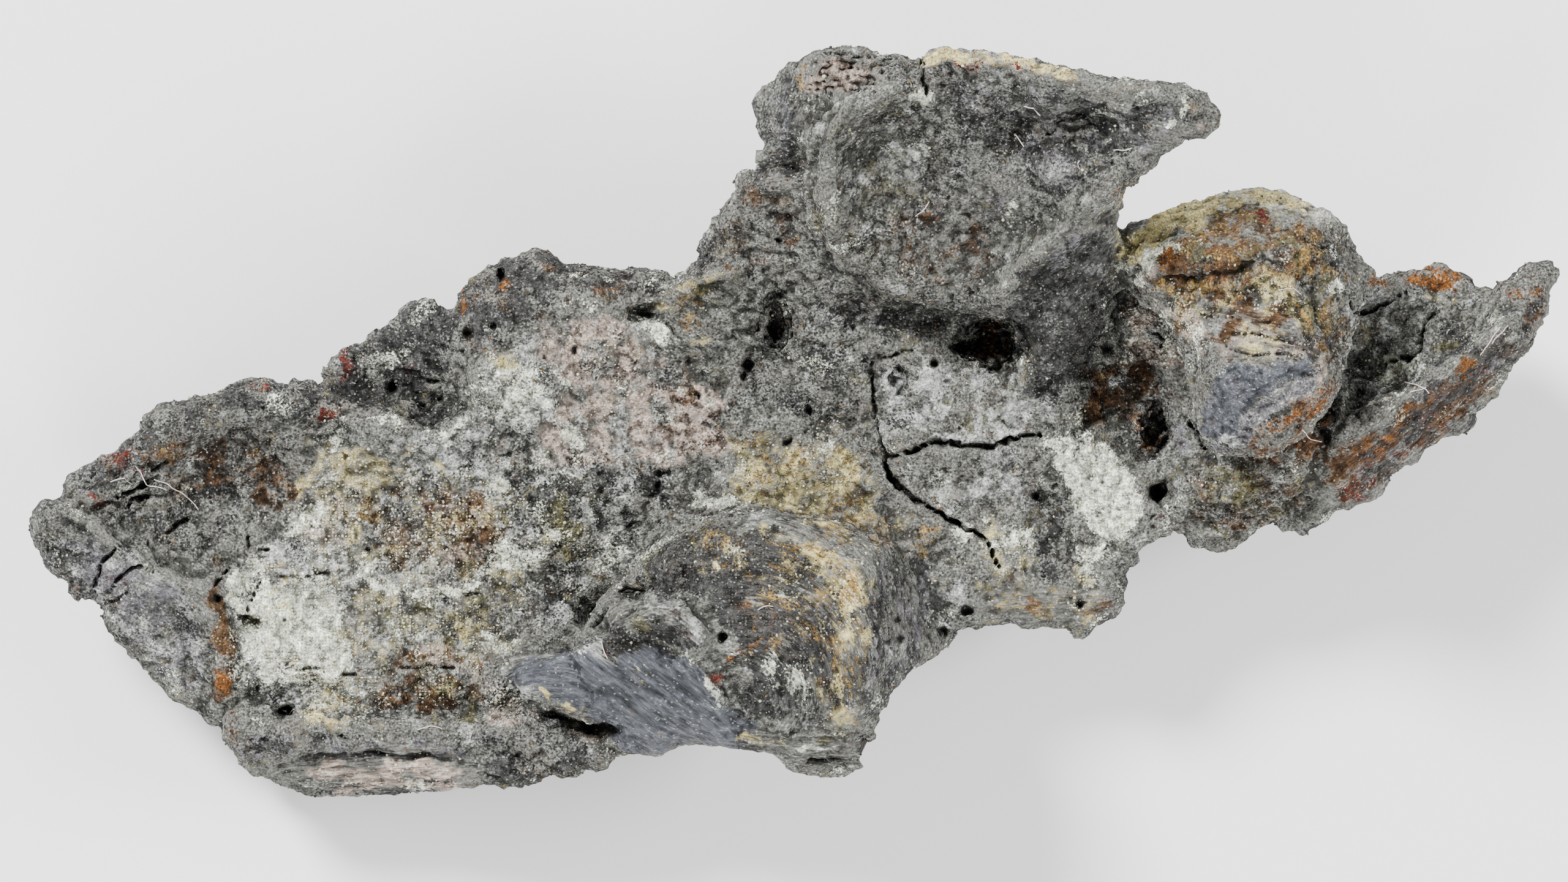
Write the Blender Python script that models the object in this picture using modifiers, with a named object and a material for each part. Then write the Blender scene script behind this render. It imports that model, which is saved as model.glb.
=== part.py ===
"""Native lead specimen: one irregular lump of naturally formed lead, lying on its back.

+X runs along the lump from the dish to the blade, +Y across it towards the spur, +Z up through its thickness.
The masses are laid out and sculpted in millimetres, and the finished lump is scaled to metres.
"""

import bmesh
import bpy
import numpy as np
from mathutils import Vector, noise

# Driving dimensions, mm
LENGTH = 24.86
WIDTH = 12.18
HEIGHT = 6.6
METRES = 0.001

# Sculpting resolution, mm, and the triangles that the finished lump keeps
MASS_VOXEL = 0.15
UNION_VOXEL = 0.14
DETAIL_VOXEL = 0.12
MOST_TRIANGLES = 9400

# Each mass starts as a slab this thick to either side of its outline's plane, mm
SLAB_HALF = 1.0
LEAST_WALL = 0.8

# The foot of a side steps in most at its edge: how far inwards it reaches, and the lumps that make it uneven, mm
STEP_REACH = 0.9
FOOT_LUMP = 1.2
FOOT_UNEVENNESS = 0.9

# Weathered lumps: size across and height, mm, and the share of them that moves the surface along each axis
BROAD_LUMPS = (1.5, 0.13)
SMALL_LUMPS = (0.6, 0.035)
PUSH_SHARE = (0.3, 0.3, 1.0)

# Worn patches that it rests on: centre x, y and radius, and how far they come down, mm
RESTING_PADS = [(-7.0, -0.5, 1.3), (-6.3, -3.4, 1.5), (-1.2, -2.4, 1.2), (3.0, 2.4, 1.6), (3.6, -1.5, 1.7)]
PAD_DROP = 0.62
PAD_LUMP = 0.9
PAD_UNEVENNESS = 0.6

# Outline runs of the lump seen from above, mm, clockwise from the left tip
DISH_EDGE = [
    (-12.43, -1.71), (-12.39, -1.48), (-12.12, -1.21), (-11.94, -1.2), (-11.83, -0.9), (-11.52, -0.7),
    (-11.0, -0.42), (-10.79, -0.2), (-10.62, -0.12), (-10.43, 0.25), (-10.05, 0.3), (-9.77, 0.44),
    (-9.35, 0.52), (-8.98, 0.71), (-8.7, 0.76), (-8.32, 0.62), (-7.7, 0.62), (-7.63, 1.02), (-7.26, 1.26),
    (-6.93, 1.4), (-6.54, 1.62), (-6.28, 1.95), (-5.8, 2.03), (-5.7, 1.78), (-5.51, 1.85), (-5.31, 2.22),
    (-5.02, 2.53), (-4.3, 2.8), (-3.86, 2.84), (-3.78, 2.6), (-2.82, 2.51), (-2.2, 2.49), (-1.97, 2.29),
]
SHOULDER_EDGE = [
    (-1.9, 2.5), (-1.54, 2.62), (-1.5, 2.9), (-1.25, 3.34), (-0.92, 3.78), (-0.88, 4.0), (-0.58, 4.12),
    (-0.63, 4.4), (-0.42, 4.5), (-0.54, 4.93), (-0.61, 5.3), (-0.3, 5.54), (-0.04, 5.87), (0.38, 6.03),
    (1.07, 6.12), (1.43, 5.94), (2.11, 5.9),
]
SPUR_EDGE = [
    (2.14, 5.95), (2.34, 6.07), (3.08, 6.02), (4.09, 5.78), (5.13, 5.58), (6.29, 5.45), (6.58, 5.38),
    (6.8, 5.17), (6.89, 4.98), (6.8, 4.74), (6.37, 4.62), (6.02, 4.36), (5.86, 4.18), (5.5, 3.88),
    (5.36, 3.78), (5.38, 3.66), (5.27, 3.4), (5.26, 3.09),
]
KNOB_EDGE = [
    (5.36, 3.14), (5.82, 3.33), (6.5, 3.59), (7.0, 3.71), (7.66, 3.82), (8.19, 3.66), (8.64, 3.5),
    (8.92, 3.27), (9.1, 2.88), (9.36, 2.59), (9.56, 2.36),
]
BLADE_EDGE = [
    (9.71, 2.38), (10.02, 2.47), (10.19, 2.43), (10.57, 2.65), (10.93, 2.42), (11.15, 2.18), (11.37, 2.16),
    (11.67, 2.34), (11.94, 2.58), (12.43, 2.6), (12.33, 2.28), (12.31, 1.9), (12.13, 1.54), (12.04, 1.27),
    (11.62, 0.87), (11.66, 0.76), (11.48, 0.45), (11.17, 0.22), (11.0, -0.14), (10.54, -0.29),
    (10.24, -0.6), (9.76, -0.88), (9.52, -1.23), (9.02, -1.42), (8.82, -1.38), (8.36, -1.81),
    (7.9, -1.66), (7.75, -1.62), (7.4, -1.87), (7.08, -2.09), (6.53, -1.96), (6.26, -1.71),
]
PLATE_EDGE = [
    (6.07, -1.83), (5.66, -2.05), (5.45, -2.42), (5.36, -3.1), (4.97, -3.3), (4.82, -3.44), (4.58, -3.47),
    (4.5, -3.3), (3.86, -3.33), (3.4, -3.25), (2.9, -3.3), (2.65, -3.36),
]
HUMP_EDGE = [
    (2.58, -3.52), (2.37, -3.77), (1.81, -4.1), (1.52, -4.54), (1.33, -4.95), (1.25, -5.22), (1.05, -5.14),
    (1.06, -5.32), (1.19, -5.55), (0.95, -5.7), (0.6, -5.76), (0.09, -5.67), (-0.16, -5.47),
    (-0.6, -5.33), (-1.41, -5.24), (-1.82, -5.24), (-2.24, -5.42), (-2.6, -5.34), (-2.86, -5.37),
]
LIP_EDGE = [
    (-2.9, -5.47), (-3.3, -5.6), (-3.46, -5.69), (-3.8, -5.78), (-4.0, -5.72), (-4.3, -5.88),
    (-5.02, -5.87), (-5.58, -5.96), (-6.66, -6.03), (-7.48, -6.1), (-7.99, -5.98), (-8.56, -5.79),
    (-8.92, -5.6), (-9.17, -5.28), (-9.33, -4.95),
]
SIDE_EDGE = [
    (-9.71, -4.71), (-10.12, -4.5), (-10.48, -4.1), (-11.02, -3.52), (-11.24, -3.25), (-11.3, -3.0),
    (-11.51, -2.81), (-11.64, -2.94), (-11.79, -2.83), (-11.86, -2.58), (-12.2, -2.32), (-12.26, -2.08),
    (-12.36, -1.92),
]


def facet(x, y, z, way, slope):
    """A plane through one point, sloping in the direction given (degrees from +X) by slope mm a mm."""
    turn = np.radians(way)
    return x, y, z, slope * np.cos(turn), slope * np.sin(turn)


def level(z):
    return 0.0, 0.0, z, 0.0, 0.0


# Each mass: its outline, the facets of its top and of its bottom, the rounding of its upper and lower rim,
# how far the foot of its side steps in, and how softly its facets meet, mm. Tops fall and bottoms rise
# towards the direction given.
MASSES = {
    "dish": dict(
        outline=DISH_EDGE + [(-0.9, 1.7), (0.8, 0.6), (1.3, -0.7), (1.0, -2.6), (-1.2, -4.4), (-2.7, -5.1)]
        + LIP_EDGE + SIDE_EDGE,
        top=[level(2.5), facet(-10.6, -2.3, 2.8, 238, 0.85), facet(-8.0, 0.9, 2.7, 100, 0.5)],
        bottom=[level(0.2), facet(-9.0, -1.0, 0.25, 190, 0.25), facet(-6.0, 1.2, 0.35, 95, 0.35)],
        rim=0.35, foot_rim=1.3, step_in=0.5, blend=0.12,
    ),
    "lip": dict(
        outline=[(-2.9, -5.0), (-4.1, -4.75), (-5.6, -4.72), (-7.3, -4.68), (-8.4, -4.55), (-9.25, -4.6)]
        + LIP_EDGE[::-1],
        top=[level(2.85), facet(-6.5, -5.05, 2.8, 270, 1.3), facet(-8.9, -4.9, 2.75, 215, 0.9)],
        bottom=[level(0.5), facet(-6.5, -5.2, 0.5, 270, 0.7)],
        rim=0.3, foot_rim=0.8, step_in=0.3, blend=0.12,
    ),
    "centre": dict(
        outline=[(-2.6, 1.2), (-1.97, 2.25), (-0.9, 3.2), (1.4, 4.4), (4.3, 4.1), (5.2, 3.0), (6.6, 2.6),
                 (7.8, 0.6), (7.4, -1.2), (6.26, -1.71)]
        + PLATE_EDGE + [(2.3, -3.6), (0.6, -3.6), (-1.6, -2.4), (-2.8, -0.6)],
        top=[level(2.65), facet(4.2, -2.6, 2.45, 275, 0.45), facet(-1.5, 0.3, 2.6, 180, 0.25)],
        bottom=[level(0.2), facet(5.0, -1.0, 0.25, -20, 0.3)],
        rim=0.3, foot_rim=1.4, step_in=0.6, blend=0.12,
    ),
    "hump": dict(
        outline=[(-3.55, -3.5), (-3.2, -2.75), (-2.5, -2.25), (-1.99, -1.84), (-1.3, -1.5), (-0.5, -1.38),
                 (0.5, -1.5), (1.3, -1.75), (2.1, -2.35), (2.6, -3.1)]
        + HUMP_EDGE + [(-3.1, -5.1), (-3.35, -4.5)],
        top=[level(5.0), facet(-0.3, -2.6, 4.85, 85, 1.1), facet(1.15, -3.2, 4.6, 5, 2.0),
             facet(-1.6, -2.7, 4.8, 135, 0.9), facet(-2.2, -3.6, 4.55, 200, 0.5),
             facet(-1.6, -4.2, 4.4, 262, 1.1), facet(0.4, -4.3, 4.7, 275, 0.95)],
        bottom=[level(0.2), facet(0.0, -3.4, 0.25, 270, 0.6)],
        rim=0.45, foot_rim=1.5, step_in=0.6, blend=0.4,
    ),
    "snout": dict(
        outline=[(-3.05, -3.45), (-2.75, -3.05), (-2.3, -2.96), (-1.9, -3.05), (-1.6, -3.35),
                 (-1.35, -3.72), (-1.2, -4.3), (-1.3, -5.2), (-1.82, -5.22), (-2.24, -5.4), (-2.6, -5.32),
                 (-2.86, -5.3), (-2.95, -4.9), (-3.5, -4.72), (-4.1, -4.47), (-4.3, -4.31),
                 (-4.5, -4.36), (-4.64, -4.13), (-4.5, -3.9), (-4.05, -3.79), (-3.6, -3.65)],
        top=[level(5.1), facet(-2.3, -3.3, 5.05, 268, 1.2), facet(-3.2, -3.8, 4.35, 205, 0.45)],
        bottom=[level(2.9), facet(-3.0, -4.6, 2.9, 205, 0.2)],
        rim=0.12, foot_rim=0.2, step_in=0.0, blend=0.08,
    ),
    "shoulder": dict(
        outline=SHOULDER_EDGE + [(2.9, 5.4), (2.6, 3.4), (1.5, 1.9), (-0.3, 1.9), (-1.3, 2.1)],
        top=[level(4.3), facet(0.0, 4.9, 4.2, 250, 0.5), facet(-0.2, 4.4, 4.0, 178, 0.8)],
        bottom=[level(0.6), facet(0.4, 3.4, 0.8, 95, 0.75)],
        rim=0.3, foot_rim=1.2, step_in=0.7, blend=0.12,
    ),
    "block": dict(
        outline=[(0.34, 3.5), (0.28, 4.1), (0.42, 4.75), (0.7, 5.12), (1.2, 5.34), (1.8, 5.55), (2.1, 5.85)]
        + SPUR_EDGE[1:5] + [(5.35, 4.9), (5.2, 3.9), (5.27, 3.4), (5.26, 3.05), (5.22, 2.2), (5.05, 1.2),
                            (4.6, 0.62), (4.05, 0.42), (3.72, 0.75), (3.66, 1.5), (3.2, 1.75),
                            (2.4, 1.82), (1.5, 2.05), (0.75, 2.45), (0.42, 3.0)],
        top=[level(6.75), facet(2.4, 5.2, 6.45, 262, 0.83), facet(4.4, 3.0, 5.0, -52, 1.35),
             facet(4.1, 1.9, 3.95, 265, 0.45)],
        bottom=[level(1.0), facet(1.6, 4.0, 2.0, 140, 0.9), facet(3.0, 4.6, 2.4, 80, 0.9)],
        rim=0.15, foot_rim=0.9, step_in=0.5, blend=0.12,
    ),
    "spur": dict(
        outline=[(3.9, 5.78), (4.3, 5.74)] + SPUR_EDGE[4:15] + [(5.1, 3.35), (4.3, 3.3), (3.7, 4.4)],
        top=[level(6.1), facet(5.6, 5.2, 6.0, 258, 0.5), facet(6.3, 5.0, 5.8, 0, 0.5)],
        bottom=[level(4.0), facet(4.6, 4.8, 4.1, 5, 0.4)],
        rim=0.2, foot_rim=0.4, step_in=0.1, blend=0.12,
    ),
    "knob": dict(
        outline=KNOB_EDGE + [(9.2, 1.9), (8.9, 1.2), (8.75, 0.5), (8.3, -0.15), (7.6, -0.55), (6.7, -0.55),
                             (6.35, 0.1), (6.35, 0.9), (6.0, 1.5), (5.4, 2.1), (5.28, 2.7)],
        top=[level(5.2), facet(7.2, 1.2, 5.0, 262, 0.3), facet(6.7, 1.4, 4.7, 190, 0.75),
             facet(8.3, 1.6, 4.8, 5, 1.1), facet(7.2, 2.9, 4.9, 95, 1.2)],
        bottom=[level(0.7), facet(7.5, 1.0, 0.9, 85, 0.7)],
        rim=0.5, foot_rim=1.5, step_in=0.6, blend=0.25,
    ),
    "blade": dict(
        outline=[(9.2, 2.5), (9.56, 2.36)] + BLADE_EDGE + [(6.1, -0.9), (7.0, 0.0), (8.6, 1.2)],
        top=[level(3.6), facet(10.2, 0.5, 3.45, -57, 1.35), facet(10.2, 0.7, 3.35, 120, 0.9),
             facet(7.6, -0.9, 3.0, -85, 0.85)],
        bottom=[level(0.7), facet(9.0, 0.3, 0.85, 30, 0.35)],
        rim=0.16, foot_rim=0.8, step_in=0.4, blend=0.08,
    ),
}

# Broad relief: name, line or spot (mm), half width across (mm), height (mm; below zero sinks)
RELIEF = [
    ("dish floor", [(-8.3, -2.6), (-5.4, -2.4)], 1.9, -0.55),
    ("dish upper floor", [(-9.4, -0.9), (-6.6, -1.2)], 1.1, -0.3),
    ("dish outer rim", [(-11.9, -1.3), (-10.6, -0.5), (-9.2, 0.25), (-7.9, 0.4)], 0.4, 0.28),
    ("side crest", [(-12.0, -1.45), (-11.2, -1.85), (-10.4, -2.45), (-9.5, -2.85)], 0.3, 0.22),
    ("side crest, lower part", [(-9.5, -2.85), (-9.3, -3.7), (-9.15, -4.5)], 0.3, 0.3),
    ("lip trough", [(-8.6, -4.5), (-7.0, -4.55), (-5.2, -4.6), (-4.3, -4.5)], 0.35, -0.25),
    ("scoop", [(-7.2, 0.75), (-6.2, 0.75), (-5.75, 0.35)], 0.6, -0.6),
    ("scoop rim", [(-6.9, 0.02), (-5.9, -0.28), (-5.2, 0.05), (-5.15, 0.7)], 0.25, 0.28),
    ("patch by the scoop", [(-4.9, 0.75), (-4.1, 0.65)], 0.5, 0.3),
    ("upper lobe", [(-4.9, 1.9), (-3.4, 2.1)], 0.55, 0.25),
    ("basin middle", [(-3.4, 0.0), (-1.6, 0.3)], 1.1, -0.2),
    ("cream ridge", [(-1.96, 2.15), (-1.5, 2.3), (-1.0, 2.4)], 0.2, 0.25),
    ("valley under the shoulder", [(-1.4, 0.9), (-0.3, 0.9), (0.6, 0.2)], 0.6, -0.3),
    ("valley behind the hump", [(-3.9, -2.6), (-2.8, -1.7), (-1.6, -1.0)], 0.5, -0.25),
    ("snout brow", [(-3.1, -3.3), (-2.8, -3.02), (-2.3, -2.96), (-1.85, -3.08), (-1.45, -3.5)], 0.16, 0.3),
    ("snout flat", [(-2.7, -3.5), (-2.0, -3.5)], 0.32, -0.35),
    ("snout arris", [(-1.73, -3.74), (-1.48, -4.05), (-1.2, -4.5)], 0.14, 0.25),
    ("groove above the brow", [(-3.35, -3.1), (-2.95, -2.78), (-2.4, -2.7)], 0.16, -0.45),
    ("hump arch", [(-1.9, -1.95), (-0.9, -1.65), (0.2, -1.75), (1.1, -2.1)], 0.4, 0.3),
    ("hump shoulder", [(0.9, -2.4), (1.15, -3.4), (1.1, -4.4)], 0.35, 0.3),
    ("hump flank", [(2.0, -3.0), (1.7, -3.9)], 0.35, -0.25),
    ("toe hollow", [(0.25, -5.45), (0.8, -5.48)], 0.16, -0.5),
    ("block left ridge", [(1.6, 5.42), (0.85, 5.1), (0.5, 4.6), (0.45, 3.9), (0.55, 3.1)], 0.26, 0.45),
    ("block face", [(1.7, 4.2), (2.6, 3.1)], 1.1, -0.55),
    ("block right ridge", [(5.2, 3.8), (4.4, 3.1), (3.7, 2.55), (3.35, 1.9)], 0.26, 0.55),
    ("edge of the block's foot", [(3.7, 0.6), (3.68, 1.5)], 0.14, 0.3),
    ("block top hollow", [(3.4, 4.6), (4.8, 4.75)], 0.4, -0.5),
    ("block foot", [(4.3, 0.75), (4.4, 1.6)], 0.5, 0.25),
    ("spur top rim", [(2.6, 5.85), (4.2, 5.6), (6.3, 5.25)], 0.16, 0.22),
    ("back ledge", [(0.4, 5.7), (1.4, 5.75)], 0.35, 0.2),
    ("back ledge step", [(-0.5, 4.15), (0.2, 4.2)], 0.14, -0.35),
    ("plate", [(2.0, 0.3), (3.4, 0.2)], 0.7, 0.12),
    ("plate left edge", [(1.3, 1.0), (1.3, 0.2), (1.36, -0.5), (1.6, -0.95)], 0.12, -0.22),
    ("plate low side", [(4.2, -2.0), (4.1, -1.3)], 0.3, -0.2),
    ("hollow right of the plate", [(5.2, 0.2), (5.6, 0.9)], 0.55, -0.35),
    ("knob brow", [(6.2, 2.1), (7.2, 2.2), (8.2, 1.9)], 0.35, -0.3),
    ("nose", [(7.0, 0.75), (8.1, 0.75)], 0.45, 0.25),
    ("blade hollow", [(9.2, 0.9), (9.7, 0.75)], 0.4, -0.6),
    ("blade ridge", [(11.4, 1.58), (10.9, 1.05), (10.3, 0.6), (9.45, 0.15), (8.8, -0.2)], 0.16, 0.3),
    ("blade end ridge", [(11.4, 1.6), (11.9, 2.3)], 0.3, 0.3),
    ("blade upper rim", [(9.7, 2.3), (10.6, 2.4), (11.2, 2.1), (12.1, 2.45)], 0.16, 0.2),
    ("blade upper plate", [(9.4, 1.6), (10.6, 1.6)], 0.55, -0.15),
    ("crease between the blade's two leaves", [(8.55, -0.3), (8.4, -1.0), (8.0, -1.6)], 0.18, -0.3),
]

# Pits and hollows: centre x, y, half sizes along x and y, depth, mm
PITS = [
    (3.22, 1.32, 0.46, 0.36, 1.3),
    (2.78, 1.2, 0.18, 0.14, 0.5),
    (1.63, 0.7, 0.16, 0.2, 0.45),
    (5.8, -0.08, 0.22, 0.34, 1.0),
    (5.92, -1.12, 0.17, 0.19, 0.7),
    (-0.3, 1.64, 0.26, 0.42, 0.9),
    (-3.8, -4.72, 0.34, 0.12, 0.9),
    (-3.2, -4.9, 0.32, 0.13, 1.0),
    (-0.75, 0.9, 0.14, 0.16, 0.35),
    (-2.61, -2.79, 0.22, 0.14, 0.5),
    (-3.14, -3.2, 0.16, 0.22, 0.4),
    (-8.85, -3.2, 0.2, 0.12, 0.25),
    (-2.45, 1.8, 0.26, 0.12, 0.35),
    (-8.25, -4.68, 0.2, 0.13, 0.4),
    (3.97, -1.2, 0.14, 0.12, 0.3),
    (-7.5, -0.19, 0.15, 0.15, 0.25),
    (9.05, 0.3, 0.16, 0.25, 0.5),
    (4.5, 4.8, 0.4, 0.16, 0.35),
    (5.05, 3.35, 0.25, 0.14, 0.4),
]


def fresh_scene():
    for obj in list(bpy.data.objects):
        bpy.data.objects.remove(obj, do_unlink=True)


def new_collection(name):
    made = bpy.data.collections.new(name)
    bpy.context.scene.collection.children.link(made)
    return made


def evaluated_mesh(obj):
    """The object's mesh with its modifiers worked in."""
    graph = bpy.context.evaluated_depsgraph_get()
    return bpy.data.meshes.new_from_object(obj.evaluated_get(graph))


def modified(mesh, kind, **settings):
    """The mesh after one modifier."""
    obj = bpy.data.objects.new("work", mesh)
    bpy.context.scene.collection.objects.link(obj)
    modifier = obj.modifiers.new(kind.title(), kind)
    for name, value in settings.items():
        setattr(modifier, name, value)
    made = evaluated_mesh(obj)
    bpy.data.objects.remove(obj)
    return made


def points_of(mesh):
    found = np.empty(len(mesh.vertices) * 3)
    mesh.vertices.foreach_get("co", found)
    return found.reshape(-1, 3)


def place(mesh, points):
    mesh.vertices.foreach_set("co", points.ravel())
    mesh.update()


def normals_of(mesh):
    found = np.empty(len(mesh.vertices) * 3)
    mesh.vertices.foreach_get("normal", found)
    return found.reshape(-1, 3)


def nearest_on_line(flat, line, closed):
    """Distance from each point to a run of points, and the unit normal, left of travel, of the stretch nearest it."""
    ends = np.array(line, float)
    starts = ends if closed else ends[:-1]
    ends = np.roll(ends, -1, axis=0) if closed else ends[1:]
    best = np.full(len(flat), np.inf)
    normal = np.zeros((len(flat), 2))
    for start, end in zip(starts, ends):
        along = end - start
        reach = np.clip((flat - start) @ along / max(along @ along, 1e-12), 0, 1)
        gap = start + reach[:, None] * along - flat
        far = np.hypot(gap[:, 0], gap[:, 1])
        nearer = far < best
        best[nearer] = far[nearer]
        normal[nearer] = np.array([-along[1], along[0]]) / np.hypot(*along)
    return best, normal


def inward_of(flat, outline):
    """Distance from each point to the outline, and the unit direction inwards from the outline there."""
    distance, normal = nearest_on_line(flat, outline, True)
    corners = np.array(outline)
    following = np.roll(corners, -1, axis=0)
    turned = np.sum(corners[:, 0] * following[:, 1] - following[:, 0] * corners[:, 1])
    return distance, normal * np.sign(turned)


def envelope(flat, facets, sign, blend):
    """The lowest of several facets at each point (sign -1) or the highest (sign 1), with softened meetings."""
    heights = np.stack([
        sign * z + (flat[:, 0] - x) * slope_x + (flat[:, 1] - y) * slope_y
        for x, y, z, slope_x, slope_y in facets
    ])
    peak = heights.max(axis=0)
    return sign * (peak + blend * np.log(np.exp((heights - peak) / blend).sum(axis=0)))


def rounded(distance, radius):
    """How far a rounded rim drops at a distance in from the edge."""
    inward = 1 - np.clip(distance / radius, 0, 1)
    return radius * (1 - np.sqrt(1 - inward ** 2))


def slab(name, outline):
    """The outline filled and extruded, then remeshed so that it can be sculpted."""
    curve = bpy.data.curves.new(name, "CURVE")
    curve.dimensions = "2D"
    curve.fill_mode = "BOTH"
    curve.extrude = SLAB_HALF
    spline = curve.splines.new("POLY")
    spline.points.add(len(outline) - 1)
    for point, (x, y) in zip(spline.points, outline):
        point.co = (x, y, 0.0, 1.0)
    spline.use_cyclic_u = True
    obj = bpy.data.objects.new(name, curve)
    bpy.context.scene.collection.objects.link(obj)
    plain = evaluated_mesh(obj)
    bpy.data.objects.remove(obj)
    return modified(plain, "REMESH", mode="VOXEL", voxel_size=MASS_VOXEL)


def ripple(points, size, seed, roughness=0.5, octaves=3):
    """Noise from -1 to 1 at each point, with lumps of about the given size in mm."""
    offset = Vector((seed * 17.3, seed * 5.1, seed * 9.7))
    return np.array([
        noise.fractal(Vector(p) / size + offset, roughness, 2.0, octaves, noise_basis="PERLIN_ORIGINAL")
        for p in points
    ])


def mass(name, outline, top, bottom, rim, foot_rim, step_in, blend):
    """One mass: its slab given a faceted top, a faceted bottom, rounded rims and a foot that steps in."""
    mesh = slab(name, outline)
    points = points_of(mesh)
    distance, inward = inward_of(points[:, :2], outline)
    share = np.clip((points[:, 2] / SLAB_HALF + 1) / 2, 0, 1)
    upper = envelope(points[:, :2], top, -1, blend) - rounded(distance, rim)
    lower = envelope(points[:, :2], bottom, 1, blend) + rounded(distance, foot_rim)
    lower = np.minimum(lower, upper - LEAST_WALL)
    points[:, 2] = lower + share * (upper - lower)
    uneven = 1 + FOOT_UNEVENNESS * ripple(points, FOOT_LUMP, 3)
    shift = step_in * uneven * (1 - share) ** 1.3 * np.exp(-distance / STEP_REACH)
    points[:, :2] += inward * shift[:, None]
    place(mesh, points)
    return mesh


def joined(meshes):
    """All the masses in one mesh, still overlapping."""
    edit = bmesh.new()
    for mesh in meshes:
        edit.from_mesh(mesh)
    made = bpy.data.meshes.new("masses")
    edit.to_mesh(made)
    edit.free()
    return made


def carve_relief(mesh):
    """Raises ridges and sinks hollows on the faces that look up."""
    points = points_of(mesh)
    upward = np.clip(normals_of(mesh)[:, 2] * 1.5, 0, 1)
    rise = np.zeros(len(points))
    for _, line, half_width, height in RELIEF:
        distance, _ = nearest_on_line(points[:, :2], line, False)
        rise += height * np.exp(-((distance / half_width) ** 2))
    points[:, 2] += rise * upward
    place(mesh, points)


def carve_pits(mesh):
    """Sinks steep-sided holes into the faces that look up."""
    points = points_of(mesh)
    upward = np.clip(normals_of(mesh)[:, 2] * 2, 0, 1)
    for x, y, half_x, half_y, depth in PITS:
        reach = np.hypot((points[:, 0] - x) / half_x, (points[:, 1] - y) / half_y)
        points[:, 2] -= depth * upward / (1 + reach ** 6)
    place(mesh, points)


def weather(mesh):
    """Lumps all over, pushed along the normals."""
    points = points_of(mesh)
    normals = normals_of(mesh)
    push = np.zeros(len(points))
    for seed, (across, height) in enumerate((BROAD_LUMPS, SMALL_LUMPS), start=1):
        push += height * ripple(points, across, seed)
    place(mesh, points + normals * push[:, None] * np.array(PUSH_SHARE))


def lower_pads(mesh):
    """Brings down the patches of the underside that carry the lump, so that the cut makes them flat."""
    points = points_of(mesh)
    downward = np.clip(-normals_of(mesh)[:, 2] * 2, 0, 1)
    uneven = 1 + PAD_UNEVENNESS * ripple(points, PAD_LUMP, 4)
    drop = np.zeros(len(points))
    for x, y, radius in RESTING_PADS:
        reach = np.hypot(points[:, 0] - x, points[:, 1] - y) / (radius * uneven)
        drop = np.maximum(drop, PAD_DROP * np.exp(-(reach ** 2)))
    points[:, 2] -= drop * downward
    place(mesh, points)


def flattened(mesh):
    """The lump with its underside cut flat where it rests, by a Boolean with a block below the ground."""
    obj = bpy.data.objects.new("lump", mesh)
    bpy.context.scene.collection.objects.link(obj)
    bpy.ops.mesh.primitive_cube_add(size=1.0, location=(0.0, 0.0, -5.0))
    ground = bpy.context.object
    ground.name = "ground_cutter"
    ground.scale = (40.0, 30.0, 10.0)
    cut = obj.modifiers.new("ground", "BOOLEAN")
    cut.operation = "DIFFERENCE"
    cut.solver = "EXACT"
    cut.object = ground
    made = evaluated_mesh(obj)
    bpy.data.objects.remove(obj)
    bpy.data.objects.remove(ground)
    return made


def fit(mesh):
    """Centres the lump over the origin and gives it its exact length, width and height."""
    points = points_of(mesh)
    low = points.min(axis=0)
    high = points.max(axis=0)
    size = np.array([LENGTH, WIDTH, HEIGHT])
    points = (points - (low + high) / 2) * size / (high - low)
    points[:, 2] += HEIGHT / 2
    points[:, 2][points[:, 2] < 1e-6] = 0.0
    place(mesh, points * METRES)


def lead_material():
    made = bpy.data.materials.new("weathered_lead")
    made.use_nodes = True
    shader = made.node_tree.nodes["Principled BSDF"]
    shader.inputs["Base Color"].default_value = (0.14, 0.14, 0.13, 1.0)
    shader.inputs["Roughness"].default_value = 0.85
    shader.inputs["Metallic"].default_value = 0.0
    return made


def main():
    fresh_scene()
    collection = new_collection("native_lead_specimen")
    lump = joined([mass(name, **shape) for name, shape in MASSES.items()])
    lump = modified(lump, "REMESH", mode="VOXEL", voxel_size=UNION_VOXEL)
    lump = modified(lump, "SMOOTH", factor=0.5, iterations=2)
    carve_relief(lump)
    lump = modified(lump, "REMESH", mode="VOXEL", voxel_size=DETAIL_VOXEL)
    weather(lump)
    lower_pads(lump)
    carve_pits(lump)
    lump = modified(lump, "SMOOTH", factor=0.4, iterations=1)
    lump = modified(lump, "TRIANGULATE")
    lump = modified(lump, "DECIMATE", ratio=MOST_TRIANGLES / len(lump.polygons))
    lump = flattened(lump)
    fit(lump)
    lump.name = "native_lead"
    lump.materials.append(lead_material())
    node = bpy.data.objects.new("native_lead", lump)
    collection.objects.link(node)
    print("triangles", sum(len(face.vertices) - 2 for face in lump.polygons))


main()
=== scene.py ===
# %% [markdown]
# # A lump of native lead
# The object is one small lump of lead that formed in the ground, about 25 mm long. It weathered all over:
# the metal is hidden under grey oxide, white and cream carbonate bloom and rusty stains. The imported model
# is a coarse solid of it. This lesson grows the fine skin of that solid and paints the weathering on it.

# %% Load the frame
import itertools
import math

import bmesh
import bpy
import numpy as np
from mathutils import Euler, Matrix, Vector, kdtree


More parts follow.
